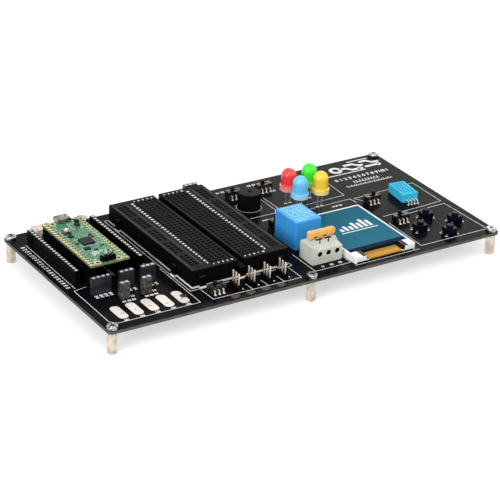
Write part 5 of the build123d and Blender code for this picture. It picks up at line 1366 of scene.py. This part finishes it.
@dataclass
class Breadboard:
    """The breadboard with its printed figures and rail lines."""

    left: float = 55.2
    rail: float = 9.1
    block: float = 36.4
    front: float = 19.3
    length: float = 83.0
    top: float = 9.5
    rows: int = 30
    end_margin: float = 4.67
    first_column: float = 3.81
    rail_columns: tuple[float, float] = (3.28, 5.82)
    rail_start: float = 5.94
    funnel: float = 1.7
    hole: float = 0.95
    figure: float = 1.0
    weight: float = 0.22
    bold_rows: int = 9
    figure_gap: float = 2.3
    line_gap: float = 1.1
    line_end: float = 4.0
    line_width: float = 0.5
    sign_end: float = 2.2
    sign_half: float = 0.5
    sign_width: float = 0.3

    def columns(self) -> list[float]:
        """The ten columns of row contacts.

        Returns:
            The X of each, outwards on the left and then on the right.
        """
        middle = self.left + self.rail + self.block / 2
        found = []
        for side in Side:
            for column in range(5):
                found.append(middle + side.value * (self.first_column + column * PITCH))
        return found

    def funnels(self) -> None:
        """Adds a near-black square ring round each contact hole of the block and the rails: painted shade
        in the funnels.
        """
        draft = Draft()
        radius = (self.funnel + self.hole) / 4 * math.sqrt(2)
        width = (self.funnel - self.hole) / 2
        places = []
        for x in self.columns():
            for row in range(self.rows):
                places.append((x, self.front + self.end_margin + row * PITCH))
        for start in (self.left, self.left + self.rail + self.block):
            for reach in self.rail_columns:
                for group in range(5):
                    for hole in range(5):
                        y = self.front + self.rail_start + PITCH * (6 * group + hole)
                        places.append((start + reach, y))
        for x, y in places:
            draft.ring(x, y, radius, width, self.top, self.top + INK, 4)
        draft.piece("breadboard_funnel_shade", PAINTED_SHADE_ABS, "breadboard_black")

    def figures(self) -> None:
        """Prints the row figures at both sides of the block and the column figures at its ends."""
        draft = Draft()
        middle = self.left + self.rail + self.block / 2
        reach = self.first_column + 4 * PITCH + self.figure_gap
        for row in range(self.rows):
            y = self.front + self.end_margin + row * PITCH
            weight = self.weight if row < self.bold_rows else self.weight / 2
            for side in Side:
                x = middle + side.value * reach
                draft.figures(str(row + 1), x, y, self.figure, self.top, 0.0, weight)
        for side in Side:
            for column in range(5):
                x = middle + side.value * (self.first_column + column * PITCH)
                words = str(5 - column) if side is Side.LEFT else str(column + 6)
                for y in (self.front + self.figure_gap, self.front + self.length - self.figure_gap):
                    draft.figures(words, x, y, self.figure, self.top, 0.0, self.weight / 2)
        draft.piece("breadboard_figures", WHITE_INK, "breadboard_black")

    def rail_lines(self) -> None:
        """Prints the two long lines on each supply rail, with a plus and a minus at their ends."""
        red = Draft()
        blue = Draft()
        low = self.top
        high = low + INK
        near = self.front
        far = near + self.length
        half = self.sign_half
        for start in (self.left, self.left + self.rail + self.block):
            for draft, x in ((red, start + self.line_gap), (blue, start + self.rail - self.line_gap)):
                points = [(x, near + self.line_end), (x, far - self.line_end)]
                draft.line(points, self.line_width, low, high)
                for y in (near + self.sign_end, far - self.sign_end):
                    draft.line([(x - half, y), (x + half, y)], self.sign_width, low, high)
                    if draft is red:
                        draft.line([(x, y - half), (x, y + half)], self.sign_width, low, high)
        red.piece("rail_lines_red", RED_INK, "breadboard_black")
        blue.piece("rail_lines_blue", BLUE_INK, "breadboard_black")

    def build(self) -> None:
        """Dresses the breadboard and prints on it."""
        dress(BREADBOARD_ABS, "breadboard_block", "breadboard_rails")
        dress(SPRING_BRONZE, "breadboard_clips")
        dress(FOAM, "breadboard_tape")
        self.funnels()
        self.figures()
        self.rail_lines()


@dataclass
class OutputParts:
    """Servo headers, sounder, lamps, relay, wire terminal and display."""

    relay_x: float = 128.95
    relay_y: float = 40.2
    relay_top: float = 15.2
    mark_rise: float = 0.08
    glass_top: float = 3.35
    terminal_front: float = 12.55
    poles: tuple[float, float, float] = (124.17, 129.25, 134.33)
    wire_radius: float = 1.39
    wire_height: float = 5.3
    wire_reach: float = 5.4
    wire_start: float = 0.35
    slot_back: float = 18.15
    slot_low: float = 8.42
    slot_high: float = 10.6
    lining: float = 0.08
    notch_shift: float = 1.22
    notch_y: float = 19.48
    notch_width: float = 2.38
    notch_low: float = 11.12
    notch_high: float = 11.98
    mark_width: float = 1.25
    frame_mark: float = 0.9
    chart_x: float = 151.2
    chart_y: float = 31.4
    bar_pitch: float = 2.9
    bar_width: float = 1.8
    frame_top: float = 3.5
    recess: float = 1.6
    tape_x: tuple[float, float] = (147.03, 168.67)
    tape_y: float = 7.0
    tape_width: float = 1.64
    tape_depth: float = 6.1
    tape_skin: float = 0.06
    tab_width: float = 2.0
    tab_shift: float = 1.1

    def terminal_insides(self) -> None:
        """Lines the terminal's wire holes and the slots between its levers, which look black, with painted
        shade, and puts painted shade in the first two levers' notches.
        """
        draft = Draft()
        wide = self.wire_radius
        front = self.terminal_front
        reach = front + self.wire_reach
        mouth = [(wide, front + self.wire_start), (wide - 0.08, front + 0.3)]
        cup = mouth + [(wide - 0.1, reach), (0.0, reach)]
        # A near-black cup in each wire hole: painted shade.
        for x in self.poles:
            draft.lathe(x, self.wire_height, cup, 20, Axis.Y)
        low = self.slot_low
        high = self.slot_high
        # Near-black linings in each slot between the levers and a sheet over it: painted shade.
        for left, right in zip(self.poles, self.poles[1:]):
            x = (left + right) / 2
            draft.slab(x, self.slot_back - self.lining, 0.68, 0.12, low, high)
            for side in Side:
                draft.slab(x + side.value * 0.3, self.slot_back - 0.5, self.lining, 0.98, low, high)
            draft.slab(x, self.slot_back - 0.3, 4.2, 1.3, high, high + INK)
        draft.piece("terminal_insides", PAINTED_SHADE_ABS, "black_nylon")
        # A near-black sheet in each of the first two levers' notches, which moves with its lever: painted
        # shade.
        for number, x in enumerate(self.poles[:2], 1):
            shade = Draft()
            middle = x + self.notch_shift
            shade.slab(middle, self.notch_y, self.notch_width, INK, self.notch_low, self.notch_high)
            lever = f"terminal_lever_{number}"
            shade.piece(f"{lever}_notch_shade", PAINTED_SHADE_ABS, "black_nylon", body=lever)

    def relay_marks(self) -> None:
        """Adds the plain bars and the frame moulded proud on the relay's top."""
        draft = Draft()
        high = self.relay_top + self.mark_rise
        # Bars: the Y, the first X and the last X of each, from the middle of the relay.
        bars = (
            (7.4, -5.8, -1.0), (7.4, 0.0, 5.8), (5.2, -5.8, -3.2), (5.2, 0.2, 2.6), (5.2, 3.8, 5.8),
            (3.0, 0.0, 1.8), (3.0, 3.0, 5.8), (0.8, 0.2, 5.2), (-1.4, 0.6, 2.8), (-1.4, 4.0, 5.8),
            (-3.6, 0.2, 4.6), (-5.8, -5.4, -1.6), (-5.8, -0.2, 2.0), (-5.8, 3.4, 5.4),
            (-7.8, -4.8, 0.4),
        )
        low = self.relay_top
        for dy, start, end in bars:
            y = self.relay_y + dy
            draft.line([(self.relay_x + start, y), (self.relay_x + end, y)], self.mark_width, low, high)
        x = self.relay_x - 3.4
        y = self.relay_y + 0.4
        corners = [(x - 1.9, y - 3.4), (x + 1.9, y - 3.4), (x + 1.9, y + 3.0), (x - 1.9, y + 3.0)]
        draft.line(corners + corners[:1], self.frame_mark, low, high)
        draft.line([(x - 0.8, y - 1.4), (x + 0.8, y + 1.0)], self.frame_mark, low, high)
        draft.piece("relay_top_marks", RELAY_MARKS, "relay_blue")

    def chart(self) -> None:
        """Shows a plain bar chart over a base line on the display."""
        draft = Draft()
        high = self.glass_top + INK
        for index, height in enumerate((3.0, 5.2, 4.0, 7.0, 5.6, 8.6, 6.4)):
            x = self.chart_x + self.bar_pitch * index
            draft.slab(x, self.chart_y + height / 2, self.bar_width, height, self.glass_top, high)
        draft.line([(149.4, 29.6), (170.6, 29.6)], 0.8, self.glass_top, high)
        draft.piece("display_chart", PIXEL_WHITE, "display_panel")

    def tape(self) -> None:
        """Adds the black tape beside the ribbon, in the recess between the frame's front tabs."""
        draft = Draft()
        y = self.tape_y
        deep = self.tape_depth
        for side, x in zip(Side, self.tape_x):
            draft.slab(x, y, self.tape_width, deep, self.recess, self.recess + INK)
            inner = x + side.value * (self.tape_width / 2)
            tab = inner + side.value * self.tab_shift
            draft.slab(tab, y, self.tab_width, deep, self.frame_top, self.frame_top + INK)
            draft.slab(inner, y, self.tape_skin, deep, self.recess, self.frame_top)
        draft.piece("display_tape", RELAY_BASE_PBT, "black_nylon")

    def build(self) -> None:
        """Dresses the output parts."""
        dress(BLACK_NYLON, "servo_header_bases")
        dress(GOLD_FLASH, "servo_pins")
        dress(SOUNDER_PBT, "sounder_case")
        dress(FERRITE, "sounder_driver")
        lamps = {"red": RED_RESIN, "blue": BLUE_RESIN, "green": GREEN_RESIN, "yellow": YELLOW_RESIN}
        for colour, resin in lamps.items():
            dress(resin, f"lamp_{colour}")
        dress(TINNED_LEADS, "lamp_legs")
        dress(RELAY_PBT, "relay_case")
        dress(RELAY_BASE_PBT, "relay_base")
        dress(RELAY_IRON, "relay_magnet", "relay_armature")
        dress(RELAY_COPPER, "relay_contacts")
        dress(TERMINAL_PA, "terminal_housing")
        dress(SPRING_BRONZE, "terminal_clamps")
        dress(LEVER_PA, "terminal_lever_1", "terminal_lever_2", "terminal_lever_3")
        dress(FRAME_PC, "display_frame")
        dress(PANEL_GLASS, "display_glass")
        dress(RIBBON_FILM, "display_ribbon")
        self.terminal_insides()
        self.relay_marks()
        self.chart()
        self.tape()


@dataclass
class InputParts:
    """Humidity sensor, slide switches and push buttons."""

    switches: int = 6
    buttons: int = 4
    sensor_x: float = 207.3
    sensor_y: float = 57.85
    sensor_turn: float = -6.0
    slots: tuple[int, int] = (4, 6)
    slot_pitch: Point = (1.8, 2.0)
    slot_shift: float = 0.6
    slot_half: Point = (0.46, 0.56)
    felt_low: float = 4.0
    felt_high: float = 4.62

    def dust_filter(self) -> None:
        """Adds blue-black plugs in the slots of the sensor's grid, nearly up to its top: painted shade."""
        turn = math.radians(self.sensor_turn)
        wide, deep = self.slot_half
        columns, rows = self.slots
        draft = Draft()
        for column in range(columns):
            for row in range(rows):
                middle_x = (column - (columns - 1) / 2) * self.slot_pitch[0]
                middle_y = (row - (rows - 1) / 2) * self.slot_pitch[1] + self.slot_shift
                outline = []
                for side_x, side_y in ((-wide, -deep), (wide, -deep), (wide, deep), (-wide, deep)):
                    x = middle_x + side_x
                    y = middle_y + side_y
                    across = x * math.cos(turn) - y * math.sin(turn)
                    along = x * math.sin(turn) + y * math.cos(turn)
                    outline.append((self.sensor_x + across, self.sensor_y + along))
                draft.prism(outline, self.felt_low, self.felt_high)
        draft.piece("sensor_slot_shade", SLOT_SHADE, "sensor_cyan")

    def build(self) -> None:
        """Dresses the input parts."""
        dress(SENSOR_ABS, "sensor_case")
        self.dust_filter()
        dress(PAD_TIN, "sensor_pins", "switch_legs")
        dress(TINNED_LEADS, "button_metal")
        dress(COVER_STEEL, "switch_covers")
        dress(SWITCH_PA, "switch_bases")
        dress(BUTTON_PA, "button_bases")
        for index in range(self.switches):
            dress(SWITCH_PA, f"switch_knob_{index + 1}")
        for index in range(self.buttons):
            dress(BUTTON_PA, f"button_cap_{index + 1}")


@dataclass
class Studio:
    """The floor, the soft lights, the world and the camera."""

    azimuth: float = -33.14
    elevation: float = 26.51
    roll: float = 2.41
    distance: float = 1.02422
    focal_pixels: float = 2060.15
    picture: float = 500.0
    sensor: float = 36.0
    target: Vector = field(default_factory=lambda: Vector((-0.01125, -0.01372, 0.0126)))
    floor_size: float = 6.0
    paper: str = "#bcbcbc"
    paper_glow: float = 0.6
    sky: float = 0.55

    def floor(self) -> None:
        """Adds the pale floor, which shows white and keeps the shadow."""
        draft = bmesh.new()
        bmesh.ops.create_grid(draft, x_segments=8, y_segments=8, size=self.floor_size / 2)
        data = bpy.data.meshes.new("studio_floor")
        draft.to_mesh(data)
        draft.free()
        material = bpy.data.materials.new("studio_paper_white")
        material.use_nodes = True
        tree = material.node_tree
        tree.nodes.clear()
        share = {"operation": "MULTIPLY", 1: self.paper_glow}
        glow = add_node(tree, "ShaderNodeMath", share, {0: self.seen(tree)}).outputs[0]
        paper = add_node(tree, "ShaderNodeBsdfDiffuse", {"Color": self.paper})
        light = add_node(tree, "ShaderNodeEmission", {"Color": "#ffffff"}, {"Strength": glow})
        both = add_node(tree, "ShaderNodeAddShader", None, {0: paper.outputs[0], 1: light.outputs[0]})
        add_node(tree, "ShaderNodeOutputMaterial", None, {"Surface": both.outputs[0]})
        data.materials.append(material)
        floor = bpy.data.objects.new("studio_floor", data)
        bpy.context.scene.collection.objects.link(floor)

    def seen(self, tree: Tree) -> Socket:
        """A 1 for what the camera sees directly, in a reflection or through a clear piece.

        Args:
            tree: the node tree that gets the nodes.

        Returns:
            The 1, or a 0 for light that only falls on the object.
        """
        paths = add_node(tree, "ShaderNodeLightPath").outputs
        direct = {0: paths["Is Camera Ray"], 1: paths["Is Glossy Ray"]}
        mirrored = add_node(tree, "ShaderNodeMath", {"operation": "MAXIMUM"}, direct)
        clear = {0: mirrored.outputs[0], 1: paths["Is Transmission Ray"]}
        return add_node(tree, "ShaderNodeMath", {"operation": "MAXIMUM"}, clear).outputs[0]

    def lamp(self, name: str, where: tuple[float, float, float], size: float, watts: float) -> None:
        """Adds a soft square lamp that faces the board.

        Args:
            name: the lamp's name.
            where: its place in metres.
            size: its side in metres.
            watts: its power.
        """
        light = bpy.data.lights.new(name, "AREA")
        light.size = size
        light.energy = watts
        lamp = bpy.data.objects.new(name, light)
        lamp.location = where
        lamp.rotation_euler = (-Vector(where)).to_track_quat("-Z", "Y").to_euler()
        bpy.context.scene.collection.objects.link(lamp)

    def world(self) -> None:
        """Lights the scene softly, and shows white to the camera and in reflections."""
        world = bpy.data.worlds.new("studio")
        world.use_nodes = True
        bpy.context.scene.world = world
        tree = world.node_tree
        tree.nodes.clear()
        span = {"To Min": self.sky, "To Max": 1.0}
        strength = add_node(tree, "ShaderNodeMapRange", span, {"Value": self.seen(tree)}).outputs[0]
        back = add_node(tree, "ShaderNodeBackground", {"Color": "#ffffff"}, {"Strength": strength})
        add_node(tree, "ShaderNodeOutputWorld", None, {"Surface": back.outputs[0]})

    def camera(self) -> None:
        """Places the camera at the photograph's viewpoint."""
        azimuth = math.radians(self.azimuth)
        elevation = math.radians(self.elevation)
        roll = math.radians(self.roll)
        level = math.cos(elevation)
        back = Vector((math.sin(azimuth) * level, -math.cos(azimuth) * level, math.sin(elevation)))
        right = Vector((0, 0, 1)).cross(back).normalized()
        up = back.cross(right)
        turned_right = right * math.cos(roll) + up * math.sin(roll)
        turned_up = up * math.cos(roll) - right * math.sin(roll)
        matrix = Matrix((turned_right, turned_up, back)).transposed().to_4x4()
        matrix.translation = self.target + back * self.distance
        data = bpy.data.cameras.new("camera")
        data.sensor_width = self.sensor
        data.lens = self.sensor * self.focal_pixels / self.picture
        camera = bpy.data.objects.new("camera", data)
        camera.matrix_world = matrix
        bpy.context.scene.collection.objects.link(camera)
        bpy.context.scene.camera = camera

    def build(self) -> None:
        """Sets the stage."""
        bpy.context.scene.view_settings.view_transform = "Standard"
        self.floor()
        self.world()
        # Lamps: the name, the place, the side and the power.
        lamps = (
            ("key_light", (-0.35, -0.6, 1.0), 0.8, 5.2), ("fill_light", (0.7, -0.5, 0.7), 0.6, 1.8),
            ("side_light", (-0.95, -0.4, 0.4), 0.5, 5.4), ("back_light", (1.0, 1.0, 0.46), 0.7, 2.0),
        )
        for name, where, size, watts in lamps:
            self.lamp(name, where, size, watts)
        self.camera()


def main() -> None:
    """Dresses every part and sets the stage."""
    logging.basicConfig(level=logging.INFO, format="%(name)s: %(message)s")
    parts = (CircuitBoard(), Sockets(), Module(), Breadboard(), OutputParts(), InputParts(), Studio())
    for part in parts:
        part.build()
        log.info("finished %s", type(part).__name__)


if __name__ == "__main__":
    main()
